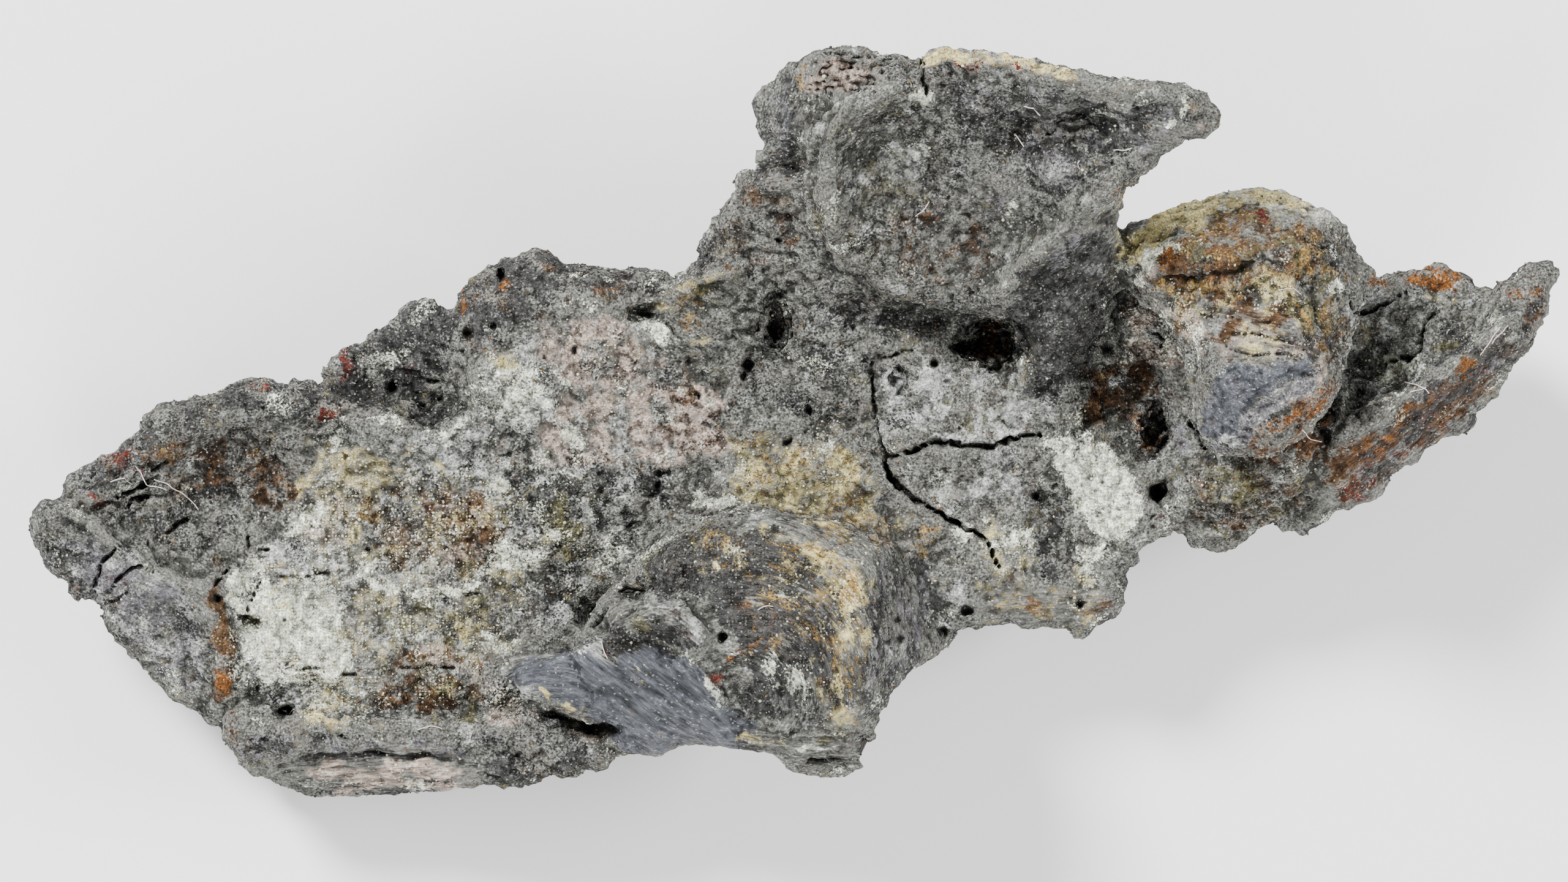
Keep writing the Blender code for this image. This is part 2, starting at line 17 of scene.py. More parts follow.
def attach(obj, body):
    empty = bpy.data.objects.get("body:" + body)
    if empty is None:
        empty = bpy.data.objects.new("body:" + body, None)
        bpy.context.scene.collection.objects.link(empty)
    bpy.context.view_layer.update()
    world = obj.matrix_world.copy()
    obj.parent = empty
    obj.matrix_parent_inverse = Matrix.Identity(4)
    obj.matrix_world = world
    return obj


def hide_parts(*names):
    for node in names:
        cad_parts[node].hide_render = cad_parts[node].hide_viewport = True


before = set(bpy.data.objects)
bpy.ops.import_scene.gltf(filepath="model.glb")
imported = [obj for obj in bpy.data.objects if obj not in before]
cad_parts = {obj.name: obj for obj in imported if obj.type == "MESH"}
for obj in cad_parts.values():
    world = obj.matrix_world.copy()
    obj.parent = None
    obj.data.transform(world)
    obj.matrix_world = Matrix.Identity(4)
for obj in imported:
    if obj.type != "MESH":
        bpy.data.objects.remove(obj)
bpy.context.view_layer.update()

MM = 0.001
scene = bpy.context.scene

# %% [markdown]
# ## Camera
# The lump lies on its flattest side and the photo looks straight down on it through a long lens, so almost
# nothing is drawn in perspective. A long lens far away does the same here. The frame is 25.6 mm wide at the
# height of the widest outline, and its middle lies a little left of and below the middle of the lump.

# %% Camera
FRAME_WIDTH = 25.6 * MM
FRAME_CENTRE = (-0.13 * MM, -0.29 * MM)
OUTLINE_HEIGHT = 2.2 * MM

lens = bpy.data.cameras.new("macro_lens")
lens.lens = 600
lens.clip_start = 0.01
camera = bpy.data.objects.new("macro_camera", lens)
scene.collection.objects.link(camera)
camera.location = (*FRAME_CENTRE, OUTLINE_HEIGHT + FRAME_WIDTH * lens.lens / lens.sensor_width)
scene.camera = camera
print("camera height, mm:", round(camera.location.z / MM, 1))

# %% [markdown]
# ## Light
# Mineral photos like this are taken in a light tent: soft light from every side, a little stronger from
# the top left, so that the lumps keep some shape. A pale world gives the tent. Three round area lights give
# the direction: each has a place and a width in metres and a power in watts, and points at the lump.

# %% Light
TENT_STRENGTH = 0.64
world = bpy.data.worlds.new("light_tent")
scene.world = world
world.use_nodes = True
world.node_tree.nodes["Background"].inputs["Color"].default_value = (1.0, 0.99, 0.98, 1)
world.node_tree.nodes["Background"].inputs["Strength"].default_value = TENT_STRENGTH

SOFTBOXES = {
    "softbox_above_left": ((-0.16, 0.17, 0.2), 0.09, 2.4),
    "softbox_right": ((0.22, 0.02, 0.14), 0.12, 0.68),
    "softbox_front": ((-0.02, -0.22, 0.14), 0.12, 0.65),
}
for name, (place, size, power) in SOFTBOXES.items():
    light = bpy.data.lights.new(name, "AREA")
    light.shape = "DISK"
    light.size = size
    light.energy = power
    lamp = bpy.data.objects.new(name, light)
    scene.collection.objects.link(lamp)
    lamp.location = place
    lamp.rotation_euler = (-Vector(place)).to_track_quat("-Z", "Y").to_euler()

# %% [markdown]
# ## Noise and lines
# Weathered metal has no straight edge and no even surface, so nearly every step below is bent by smooth
# noise. Blender's own noise works on one point at a time. The skin has two hundred thousand points, so this
# version handles them all at once. `near_line` says how far each point lies from a line drawn on the lump.

# %% Noise and lines
rng = np.random.default_rng(11)
ORDER = rng.permutation(256)
SLOPES = rng.normal(size=(256, 3))
SLOPES /= np.linalg.norm(SLOPES, axis=1, keepdims=True)


def noise(points, size, layer=0):
    """Smooth noise from about -1 to 1, with lumps of the given size; another layer is another pattern."""
    scaled = np.asarray(points) / size + np.array((17.31, 31.73, 47.97)) * (layer + 1)
    cell = np.floor(scaled).astype(int)
    part = scaled - cell
    fade = part ** 3 * (part * (part * 6 - 15) + 10)
    total = np.zeros(len(scaled))
    for corner in itertools.product((0, 1), repeat=3):
        pick = ORDER[(cell[:, 0] + corner[0]) & 255]
        pick = ORDER[(pick + cell[:, 1] + corner[1]) & 255]
        pick = ORDER[(pick + cell[:, 2] + corner[2]) & 255]
        slope = np.einsum("ij,ij->i", SLOPES[pick], part - corner)
        share = np.prod(np.where(corner, fade, 1 - fade), axis=1)
        total += slope * share
    return np.clip(total * 1.6, -1, 1)


def rough(points, size, layer=0, octaves=3):
    """Several noises on top of each other, each half the size and half the strength of the last."""
    return sum(noise(points, size / 2 ** i, layer + 7 * i) / 2 ** i for i in range(octaves))


def soft_step(low, high, value):
    """0 below low, 1 above high, and a soft S between them."""
    share = np.clip((value - low) / (high - low), 0, 1)
    return share * share * (3 - 2 * share)


def near_line(flat, line):
    """For points on the plane: the distance to a broken line and the share of the way along it."""
    line = np.array(line, float)
    spans = np.linalg.norm(np.diff(line, axis=0), axis=1)
    before = np.concatenate([[0], np.cumsum(spans)])
    best = np.full(len(flat), 1e9)
    way = np.zeros(len(flat))
    for start, end, span, done in zip(line[:-1], line[1:], spans, before):
        along = np.clip((flat - start) @ (end - start) / span ** 2, 0, 1)
        away = np.linalg.norm(flat - start - along[:, None] * (end - start), axis=1)
        closer = away < best
        best[closer] = away[closer]
        way[closer] = (done + along[closer] * span) / before[-1]
    return best, way


def inside(flat, outline):
    """Whether each point on the plane lies inside a closed outline."""
    outline = np.array(outline, float)
    found = np.zeros(len(flat), bool)
    for (ax, ay), (bx, by) in zip(outline, np.roll(outline, -1, axis=0)):
        if ay != by:
            across = (flat[:, 1] > ay) != (flat[:, 1] > by)
            found ^= across & (flat[:, 0] < (bx - ax) * (flat[:, 1] - ay) / (by - ay) + ax)
    return found


def close_to(flat, line, reach):
    """The numbers of the points near a line's box, so that each step handles few points."""
    low = np.min(line, axis=0) - reach
    high = np.max(line, axis=0) + reach
    return np.flatnonzero(((flat > low) & (flat < high)).all(axis=1))

# %% [markdown]
# ## A dense skin
# The solid has large facets. Detail of a tenth of a millimetre needs points that lie closer than that, so a
# copy of the solid is merged, worked on in millimetres and remeshed into even squares 0.055 mm wide. The
# Remesh modifier keeps the shape closed, and Smooth takes the facets off.

# %% A dense skin
SKIN_SQUARE = 0.055

source = bmesh.new()
source.from_mesh(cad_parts["native_lead"].data)
bmesh.ops.remove_doubles(source, verts=source.verts, dist=1e-6)
bmesh.ops.scale(source, vec=(1 / MM,) * 3, verts=source.verts)
coarse = bpy.data.meshes.new("coarse")
source.to_mesh(coarse)
source.free()
skin = bpy.data.objects.new("weathered_lead_skin", coarse)
scene.collection.objects.link(skin)


def finish_modifiers(piece):
    """The piece's mesh with its modifiers made real."""
    graph = bpy.context.evaluated_depsgraph_get()
    mesh = bpy.data.meshes.new_from_object(piece.evaluated_get(graph))
    piece.modifiers.clear()
    piece.data = mesh
    return mesh


remesh = skin.modifiers.new("even_squares", "REMESH")
remesh.mode = "VOXEL"
remesh.voxel_size = SKIN_SQUARE
remesh.use_smooth_shade = True
smooth = skin.modifiers.new("facets_off", "SMOOTH")
smooth.factor = 0.5
smooth.iterations = 6
mesh = finish_modifiers(skin)


def read_points():
    """The skin's points and the directions that they face, as arrays."""
    points = np.empty(len(mesh.vertices) * 3)
    mesh.vertices.foreach_get("co", points)
    facing = np.empty(len(mesh.vertices) * 3)
    mesh.vertex_normals.foreach_get("vector", facing)
    return points.reshape(-1, 3), facing.reshape(-1, 3)


def write_points(points):
    mesh.vertices.foreach_set("co", points.ravel())
    mesh.update()


points, facing = read_points()
print("points in the skin:", len(points))

# %% [markdown]
# ## The ragged outline
# Seen from above, the lump's edge is ragged, and the coarse solid only follows it roughly. The outline
# below was read from the photo, in mm, clockwise from the left tip. Each point of it looks for the
# outermost skin near it and gives the shift that brings it to the line. Points further in follow less.

# %% The ragged outline
OUTLINE = [
    (-12.43, -1.71), (-12.39, -1.50), (-12.29, -1.35), (-12.12, -1.23), (-12.00, -1.25), (-11.91, -1.21),
    (-11.90, -1.06), (-11.83, -0.92), (-11.68, -0.78), (-11.52, -0.71), (-11.35, -0.63), (-11.14, -0.52),
    (-11.00, -0.44), (-10.87, -0.33), (-10.79, -0.21), (-10.64, -0.17), (-10.56, 0.06), (-10.43, 0.23),
    (-10.27, 0.30), (-10.06, 0.29), (-9.93, 0.35), (-9.77, 0.43), (-9.54, 0.45), (-9.35, 0.51),
    (-9.14, 0.62), (-8.98, 0.70), (-8.70, 0.75), (-8.46, 0.69), (-8.32, 0.61), (-8.16, 0.67),
    (-7.92, 0.64), (-7.68, 0.63), (-7.68, 0.81), (-7.61, 1.02), (-7.45, 1.15), (-7.26, 1.25),
    (-7.00, 1.29), (-6.93, 1.40), (-6.77, 1.51), (-6.54, 1.62), (-6.41, 1.78), (-6.28, 1.94),
    (-6.14, 1.98), (-5.96, 2.01), (-5.80, 2.01), (-5.76, 1.89), (-5.67, 1.78), (-5.51, 1.85),
    (-5.42, 2.03), (-5.31, 2.21), (-5.15, 2.36), (-5.02, 2.52), (-4.79, 2.59), (-4.53, 2.68),
    (-4.30, 2.79), (-4.08, 2.84), (-3.96, 2.74), (-3.78, 2.59), (-3.49, 2.57), (-3.18, 2.53),
    (-2.82, 2.50), (-2.27, 2.50), (-2.09, 2.43), (-1.97, 2.31), (-1.90, 2.46), (-1.80, 2.72),
    (-1.67, 2.54), (-1.52, 2.64), (-1.52, 2.88), (-1.38, 3.11), (-1.25, 3.33), (-1.04, 3.59),
    (-0.90, 3.77), (-0.90, 3.98), (-0.77, 4.11), (-0.62, 4.14), (-0.54, 4.09), (-0.64, 4.30),
    (-0.62, 4.41), (-0.43, 4.47), (-0.48, 4.67), (-0.54, 4.93), (-0.60, 5.09), (-0.60, 5.32),
    (-0.48, 5.45), (-0.30, 5.53), (-0.19, 5.72), (-0.04, 5.85), (0.23, 5.95), (0.38, 6.02),
    (0.70, 6.04), (1.07, 6.10), (1.25, 6.04), (1.43, 5.94), (1.80, 5.94), (2.04, 5.88),
    (2.14, 5.95), (2.34, 6.05), (2.70, 6.02), (3.08, 6.01), (3.50, 5.94), (3.80, 5.87),
    (4.09, 5.77), (4.63, 5.68), (5.13, 5.58), (5.75, 5.52), (6.29, 5.44), (6.58, 5.38),
    (6.75, 5.21), (6.89, 5.00), (6.83, 4.78), (6.71, 4.65), (6.37, 4.63), (6.23, 4.51),
    (6.00, 4.36), (5.88, 4.20), (5.63, 4.05), (5.50, 3.88), (5.36, 3.80), (5.38, 3.68),
    (5.30, 3.53), (5.26, 3.28), (5.30, 3.12), (5.51, 3.24), (5.82, 3.32), (6.16, 3.45),
    (6.50, 3.58), (6.75, 3.61), (7.00, 3.70), (7.30, 3.77), (7.66, 3.80), (7.93, 3.74),
    (8.19, 3.65), (8.43, 3.52), (8.64, 3.49), (8.84, 3.33), (8.99, 3.15), (9.08, 2.91),
    (9.19, 2.70), (9.36, 2.59), (9.47, 2.46), (9.56, 2.36), (9.71, 2.38), (9.84, 2.44),
    (10.02, 2.47), (10.19, 2.43), (10.37, 2.50), (10.57, 2.64), (10.76, 2.48), (10.93, 2.42),
    (11.04, 2.33), (11.15, 2.19), (11.37, 2.17), (11.48, 2.28), (11.67, 2.33), (11.81, 2.43),
    (11.94, 2.58), (12.07, 2.65), (12.26, 2.61), (12.42, 2.58), (12.41, 2.43), (12.33, 2.28),
    (12.33, 1.98), (12.24, 1.72), (12.13, 1.54), (12.05, 1.28), (11.87, 1.13), (11.72, 0.95),
    (11.59, 0.86), (11.70, 0.82), (11.63, 0.73), (11.54, 0.62), (11.48, 0.47), (11.28, 0.34),
    (11.15, 0.23), (11.17, 0.08), (11.00, -0.14), (10.76, -0.18), (10.54, -0.29), (10.28, -0.46),
    (10.21, -0.62), (9.97, -0.73), (9.76, -0.88), (9.65, -1.10), (9.52, -1.23), (9.28, -1.31),
    (9.02, -1.42), (8.82, -1.38), (8.73, -1.55), (8.58, -1.68), (8.36, -1.81), (8.19, -1.74),
    (8.03, -1.77), (7.90, -1.66), (7.75, -1.62), (7.58, -1.75), (7.45, -1.84), (7.27, -1.97),
    (7.08, -2.09), (6.88, -2.03), (6.66, -2.01), (6.53, -1.95), (6.41, -1.85), (6.26, -1.71),
    (6.07, -1.83), (5.93, -1.92), (5.66, -2.05), (5.57, -2.24), (5.45, -2.42), (5.39, -2.68),
    (5.37, -2.95), (5.35, -3.10), (5.16, -3.18), (4.97, -3.30), (4.82, -3.43), (4.63, -3.48),
    (4.53, -3.43), (4.51, -3.31), (4.17, -3.30), (3.86, -3.33), (3.59, -3.24), (3.40, -3.26),
    (3.06, -3.31), (2.83, -3.30), (2.65, -3.36), (2.58, -3.52), (2.37, -3.77), (2.06, -3.92),
    (1.81, -4.10), (1.60, -4.31), (1.52, -4.54), (1.40, -4.74), (1.33, -4.95), (1.34, -5.07),
    (1.25, -5.22), (1.11, -5.19), (1.04, -5.20), (1.10, -5.38), (1.19, -5.55), (1.11, -5.62),
    (0.95, -5.70), (0.73, -5.76), (0.45, -5.72), (0.09, -5.66), (-0.09, -5.58), (-0.29, -5.38),
    (-0.52, -5.34), (-0.95, -5.28), (-1.41, -5.24), (-1.82, -5.24), (-2.03, -5.35), (-2.24, -5.42),
    (-2.48, -5.35), (-2.86, -5.40), (-3.12, -5.62), (-3.38, -5.59), (-3.46, -5.69), (-3.70, -5.78),
    (-3.89, -5.74), (-4.02, -5.72), (-4.20, -5.85), (-4.51, -5.89), (-4.76, -5.90), (-5.02, -5.87),
    (-5.28, -5.91), (-5.58, -5.96), (-6.15, -5.98), (-6.66, -6.03), (-7.12, -6.08), (-7.48, -6.09),
    (-7.84, -6.05), (-7.99, -5.98), (-8.25, -5.91), (-8.56, -5.79), (-8.82, -5.69), (-9.00, -5.54),
    (-9.17, -5.28), (-9.28, -5.10), (-9.33, -4.95), (-9.52, -4.88), (-9.71, -4.71), (-9.94, -4.58),
    (-10.12, -4.50), (-10.31, -4.29), (-10.48, -4.10), (-10.64, -3.92), (-10.81, -3.73), (-11.02, -3.52),
    (-11.18, -3.35), (-11.29, -3.15), (-11.28, -3.00), (-11.39, -2.92), (-11.51, -2.81), (-11.64, -2.94),
    (-11.79, -2.83), (-11.83, -2.60), (-11.93, -2.54), (-12.10, -2.42), (-12.23, -2.29), (-12.25, -2.08),
    (-12.35, -1.92),
]
OUTLINE_STEP = 0.05
OUTLINE_REACH = 0.55
MOST_SHIFT = 0.3


def walked(line, step):
    """Points a fixed step apart along a closed line, and the direction out of it at each."""
    line = np.array(line + line[:1])
    spans = np.linalg.norm(np.diff(line, axis=0), axis=1)
    length = np.concatenate([[0], np.cumsum(spans)])
    stops = np.linspace(0, length[-1], int(length[-1] / step), endpoint=False)
    path = np.stack([np.interp(stops, length, line[:, i]) for i in (0, 1)], axis=1)
    ahead = np.roll(path, -3, axis=0) - np.roll(path, 3, axis=0)
    out = np.stack([-ahead[:, 1], ahead[:, 0]], axis=1)
    return path, out / np.linalg.norm(out, axis=1, keepdims=True)


def fit_outline(points):
    path, out = walked(OUTLINE, OUTLINE_STEP)
    tree = kdtree.KDTree(len(path))
    for number, place in enumerate(path):
        tree.insert((*place, 0), number)
    tree.balance()
    nearest = np.array([tree.find((x, y, 0))[1] for x, y in points[:, :2]])
    beyond = np.einsum("ij,ij->i", points[:, :2] - path[nearest], out[nearest])
    outermost = np.full(len(path), -9.0)
    np.maximum.at(outermost, nearest, beyond)
    outermost = np.max([np.roll(outermost, turn) for turn in (-1, 0, 1)], axis=0)
    shift = np.clip(-outermost, -MOST_SHIFT, MOST_SHIFT)
    shift = np.mean([np.roll(shift, turn) for turn in (-1, 0, 1)], axis=0)
    follow = 1 - soft_step(0, OUTLINE_REACH, -beyond)
    points[:, :2] += out[nearest] * (shift[nearest] * follow)[:, None]
    return float(np.abs(shift).mean())


for turn in range(2):
    print("mean outline shift, mm:", round(fit_outline(points), 3))
write_points(points)
points, facing = read_points()

# %% [markdown]
# ## Ridges and hollows
# Each of these is a line with a half width and a height in mm, raised like a small tent or sunk like a
# valley. They are the folds, rims, ledges and creases that catch the light on the real lump. Noise bends
# the line a little and varies the height along it.

# %% Ridges and hollows
RIDGES = [
    ([(-12.14, -1.27), (-11.85, -1.42), (-11.48, -1.54), (-11.31, -1.73), (-11.0, -2.02), (-10.73, -2.21),
      (-10.39, -2.44), (-10.02, -2.58), (-9.68, -2.71), (-9.52, -2.83)], 0.16, 0.10),
    ([(-9.52, -2.83), (-9.35, -3.4), (-9.3, -4.0), (-9.27, -4.4), (-9.0, -4.6)], 0.2, 0.12),
    ([(-9.17, -4.90), (-8.92, -4.77), (-8.56, -4.79), (-8.15, -4.85), (-7.33, -4.97), (-6.41, -4.95),
      (-5.58, -4.97), (-4.82, -4.95), (-4.05, -4.64)], 0.18, 0.08),
    ([(-8.1, -5.46), (-7.4, -5.46), (-6.4, -5.44), (-5.5, -5.5)], 0.1, -0.12),
    ([(-6.95, 0.10), (-6.4, -0.05), (-5.83, -0.2), (-5.5, -0.08), (-5.24, 0.14)], 0.16, 0.1),
    ([(-3.19, -3.36), (-3.07, -3.10), (-2.81, -2.95), (-2.45, -2.90), (-2.09, -2.94), (-1.84, -3.03),
      (-1.63, -3.26), (-1.50, -3.46), (-1.32, -3.62)], 0.16, 0.12),
    ([(-1.73, -3.74), (-1.48, -4.05), (-1.32, -4.36), (-1.07, -4.54)], 0.12, 0.08),
    ([(-2.5, -2.28), (-1.99, -1.87), (-1.53, -1.62), (-0.91, -1.51), (-0.5, -1.51), (0.0, -1.62),
      (0.47, -1.67), (0.98, -1.82)], 0.14, 0.06),
    ([(2.28, 5.51), (1.80, 5.53), (1.49, 5.43), (1.17, 5.32), (0.86, 5.19), (0.59, 5.06), (0.46, 4.82),
      (0.36, 4.51), (0.29, 4.19), (0.27, 3.88), (0.33, 3.56), (0.36, 3.25), (0.49, 2.83)], 0.1, 0.07),
    ([(5.24, 3.75), (4.99, 3.46), (4.51, 3.19), (4.12, 2.90), (3.87, 2.65), (3.53, 2.46), (3.39, 2.16),
      (3.27, 1.87), (3.24, 1.68)], 0.16, 0.035),
    ([(6.55, 0.36), (6.67, 0.70), (6.99, 0.97), (7.48, 0.92), (7.82, 0.80), (8.06, 0.97), (8.49, 0.89),
      (8.54, 0.58), (8.3, 0.2)], 0.12, 0.07),
    ([(11.41, 1.58), (10.98, 1.06), (10.45, 0.84), (10.24, 0.58), (9.89, 0.36), (9.45, 0.17),
      (9.10, 0.02), (8.80, -0.20)], 0.14, 0.07),
    ([(8.55, -0.4), (8.5, -0.9), (8.2, -1.2), (8.0, -1.5)], 0.12, -0.1),
    ([(-2.14, 1.64), (-1.93, 1.46), (-1.72, 1.30)], 0.08, -0.1),
    ([(-1.96, 2.19), (-1.56, 2.33), (-1.09, 2.46)], 0.12, 0.08),
    ([(-0.6, 4.14), (-0.3, 4.16), (0.2, 4.12)], 0.06, -0.1),
    ([(5.3, 2.45), (5.58, 2.7), (6.26, 2.94)], 0.14, 0.06),
    ([(7.15, 2.2), (7.7, 2.5), (8.0, 2.3), (8.3, 1.9), (8.4, 1.5), (8.6, 1.15), (8.6, 0.8)], 0.14, 0.12),
    ([(5.9, 2.3), (6.6, 2.35), (7.2, 2.45), (7.6, 2.66), (8.1, 2.55)], 0.14, -0.12),
    ([(5.45, 2.25), (5.6, 2.7), (6.2, 2.9), (6.7, 2.9)], 0.16, 0.09),
    ([(8.5, 0.75), (7.9, 0.28), (7.3, -0.1), (6.85, -0.35)], 0.1, 0.05),
    ([(6.6, 1.85), (7.3, 1.8), (8.0, 1.6)], 0.08, -0.06),
    ([(3.72, 0.6), (3.7, 1.1), (3.72, 1.6)], 0.08, 0.06),
]


def bent(flat, size, amount, layer=40):
    """Points on the plane, pushed about by noise, so that what is drawn on them looks natural."""
    tall = np.column_stack([flat, np.zeros(len(flat))])
    return flat + amount * np.column_stack([rough(tall, size, layer), rough(tall, size, layer + 1)])


def raise_along(lines):
    for line, half_width, height in lines:
        chosen = close_to(points[:, :2], line, half_width * 2 + 0.1)
        away, way = near_line(bent(points[chosen, :2], 0.4, 0.05), line)
        tent = 1 - soft_step(0, half_width, away)
        ends = soft_step(0, 0.12, way) * (1 - soft_step(0.88, 1, way))
        wave = 1 + 0.5 * noise(points[chosen], 0.35, 3)
        lift = height * tent * ends * wave * (facing[chosen, 2] > 0)
        points[chosen] += facing[chosen] * lift[:, None]


raise_along(RIDGES)
write_points(points)
points, facing = read_points()
print("ridges and hollows:", len(RIDGES))

# %% [markdown]
# ## Lumps, fibres and grain
# Three textures cover the lump. Small crusty lumps lie everywhere. Where the metal was stretched or grew in
# fibres, fine grooves run one way, so their noise is stretched along that way. A few faces are bare, smooth
# lead. `CRUMPLED` areas are folded like crushed foil. Each area is an ellipse: centre, half sizes, turn in
# degrees. A flow also has its course, groove depth and strength, and a fold its course, size and height.

# %% Lumps, fibres and grain
BARE_FACES = [
    (-2.3, -4.4, 1.5, 0.62, -38), (-3.95, -4.15, 0.65, 0.35, -15), (7.5, 0.5, 1.0, 0.5, 15),
    (-10.3, -2.9, 1.1, 0.45, -38),
]
FLOWS = [
    (-2.2, -4.5, 1.7, 0.75, -38, -38, 0.022, 0.9), (-4.0, -4.15, 0.75, 0.4, -15, (-3.9, -5.6), 0.02, 0.9),
    (-2.3, -3.25, 0.9, 0.5, 0, (-2.3, -4.1), 0.03, 0.7), (0.1, -3.3, 1.5, 1.9, 0, (-0.9, -4.4), 0.022, 0.75),
    (1.75, -3.2, 0.6, 1.2, 20, -72, 0.02, 0.5), (0.0, -5.25, 1.2, 0.3, -8, -6, 0.04, 0.7),
    (1.0, 4.4, 0.9, 1.2, 50, 55, 0.008, 0.3), (3.6, 3.0, 1.5, 1.2, 40, 35, 0.01, 0.35),
    (4.9, 2.6, 0.6, 1.3, 0, 55, 0.015, 0.4), (5.2, 4.9, 1.7, 0.5, -12, -12, 0.012, 0.4),
    (10.2, 0.0, 2.2, 0.55, 42, 40, 0.02, 0.5), (9.8, -0.6, 1.6, 0.5, 35, 35, 0.015, 0.4),
    (-6.7, -5.65, 1.7, 0.35, 3, 3, 0.05, 0.85), (7.6, 1.45, 0.9, 0.5, -10, -12, 0.05, 0.6),
    (7.0, 3.2, 1.6, 0.7, 10, (7.2, 1.6), 0.012, 0.35), (4.2, -2.95, 1.2, 0.3, 0, 2, 0.05, 0.7),
    (0.3, 5.2, 0.7, 0.7, 0, 75, 0.02, 0.5), (-0.2, 4.0, 0.5, 0.4, 0, 5, 0.05, 0.6),
    (-10.6, -2.2, 1.8, 0.4, -35, -35, 0.015, 0.4),
]
FLOW_STRETCH = 6


def ellipse(flat, x, y, half_x, half_y, turn=0.0, softness=0.35):
    """1 inside an ellipse and 0 outside, with a soft edge."""
    angle = math.radians(turn)
    dx, dy = flat[:, 0] - x, flat[:, 1] - y
    along = (dx * math.cos(angle) + dy * math.sin(angle)) / half_x
    across = (-dx * math.sin(angle) + dy * math.cos(angle)) / half_y
    return 1 - soft_step(1 - softness, 1 + softness, np.hypot(along, across))


warped = bent(points[:, :2], 0.7, 0.18)
bare = np.zeros(len(points))
for face in BARE_FACES:
    bare = np.maximum(bare, ellipse(warped, *face))
bare *= facing[:, 2] > 0


def flow_place(places, course):
    """Coordinates that are squeezed along a course, so that noise on them runs in fibres. The course is
    a direction in degrees, or a centre that the fibres run around."""
    if isinstance(course, tuple):
        dx, dy = places[:, 0] - course[0], places[:, 1] - course[1]
        along, across = 1.5 * np.arctan2(dy, dx), np.hypot(dx, dy)
    else:
        angle = math.radians(course)
        along = places[:, 0] * math.cos(angle) + places[:, 1] * math.sin(angle)
        across = -places[:, 0] * math.sin(angle) + places[:, 1] * math.cos(angle)
    return np.column_stack([along / FLOW_STRETCH, across, places[:, 2] / 3])


def flows(places, flat):
    """The strongest flow at each point: its squeezed coordinates, its strength and its groove depth."""
    squeezed = places.copy()
    strength = np.zeros(len(places))
    depth = np.zeros(len(places))
    for x, y, half_x, half_y, turn, course, groove, share in FLOWS:
        here = share * ellipse(flat, x, y, half_x, half_y, turn)
        better = here > strength
        squeezed[better] = flow_place(places[better], course)
        depth[better] = groove
        strength[better] = here[better]
    return squeezed, strength, depth


squeezed, strength, depth = flows(points, warped)
plain = 1 - 0.6 * strength
coarse_share = 0.75 + 0.45 * rough(points, 1.1, 61, 2)
lumps = 0.05 * rough(points, 0.6, 5, 2) + 0.075 * np.abs(rough(points, 0.3, 9, 3))
crust = 0.035 * rough(points, 0.16, 15, 2) + 0.03 * np.abs(noise(points, 0.11, 19))
pores = 0.12 * soft_step(0.62, 0.95, noise(points, 0.14, 31) + 0.45 * noise(points, 0.7, 33))
lift = (1 - 0.85 * bare) * plain * (lumps + (crust - pores) * coarse_share)
lift += depth * strength * rough(squeezed, 0.12, 23, 2) * 1.4
points += facing * lift[:, None]

CRUMPLED = [
    (-10.9, -1.0, 0.75, 0.55, 20, 20, 0.3, 0.2), (-11.4, -1.25, 0.5, 0.3, -20, 0, 0.25, 0.14),
    (-4.2, -5.65, 0.8, 0.25, 5, 80, 0.3, 0.2), (-1.25, -4.25, 0.2, 0.3, 0, 0, 0.14, 0.1),
    (3.6, 5.75, 1.6, 0.2, -5, 0, 0.16, 0.08), (-0.3, 3.2, 0.6, 0.6, 0, 0, 0.3, 0.1),
    (-2.5, -1.3, 0.6, 0.4, 20, 20, 0.22, 0.12), (0.3, 1.8, 0.9, 0.9, 0, 0, 0.3, 0.1),
    (5.4, 1.6, 0.7, 0.7, 0, 0, 0.3, 0.1), (-6.0, 0.7, 0.6, 0.7, 0, 0, 0.25, 0.1),
    (9.6, 0.6, 0.7, 0.4, 30, 0, 0.25, 0.1), (7.3, -1.2, 0.9, 0.6, 0, 0, 0.25, 0.08),
]
for x, y, half_x, half_y, turn, course, size, height in CRUMPLED:
    here = ellipse(warped, x, y, half_x, half_y, turn)
    chosen = np.flatnonzero(here > 0)
    angle = math.radians(course)
    turned = np.column_stack([
        (points[chosen, 0] * math.cos(angle) + points[chosen, 1] * math.sin(angle)) / 1.8,
        -points[chosen, 0] * math.sin(angle) + points[chosen, 1] * math.cos(angle),
        points[chosen, 2],
    ])
    fold = np.sqrt(np.abs(rough(turned, size, 37, 2))) - 0.55
    points[chosen] += facing[chosen] * (height * here[chosen] * fold)[:, None]

write_points(points)
points, facing = read_points()
print("bare metal, share of the points:", round(float(bare.mean()), 3))

# %% [markdown]
# ## Pits
# Gas holes and broken bubbles: each is an ellipse with a depth. The bottom is pushed straight down, the
# rim stays, and noise makes the outline uneven. The solid has the large ones already. A negative depth
# partly fills such a hole, because the photo shows its brown floor.

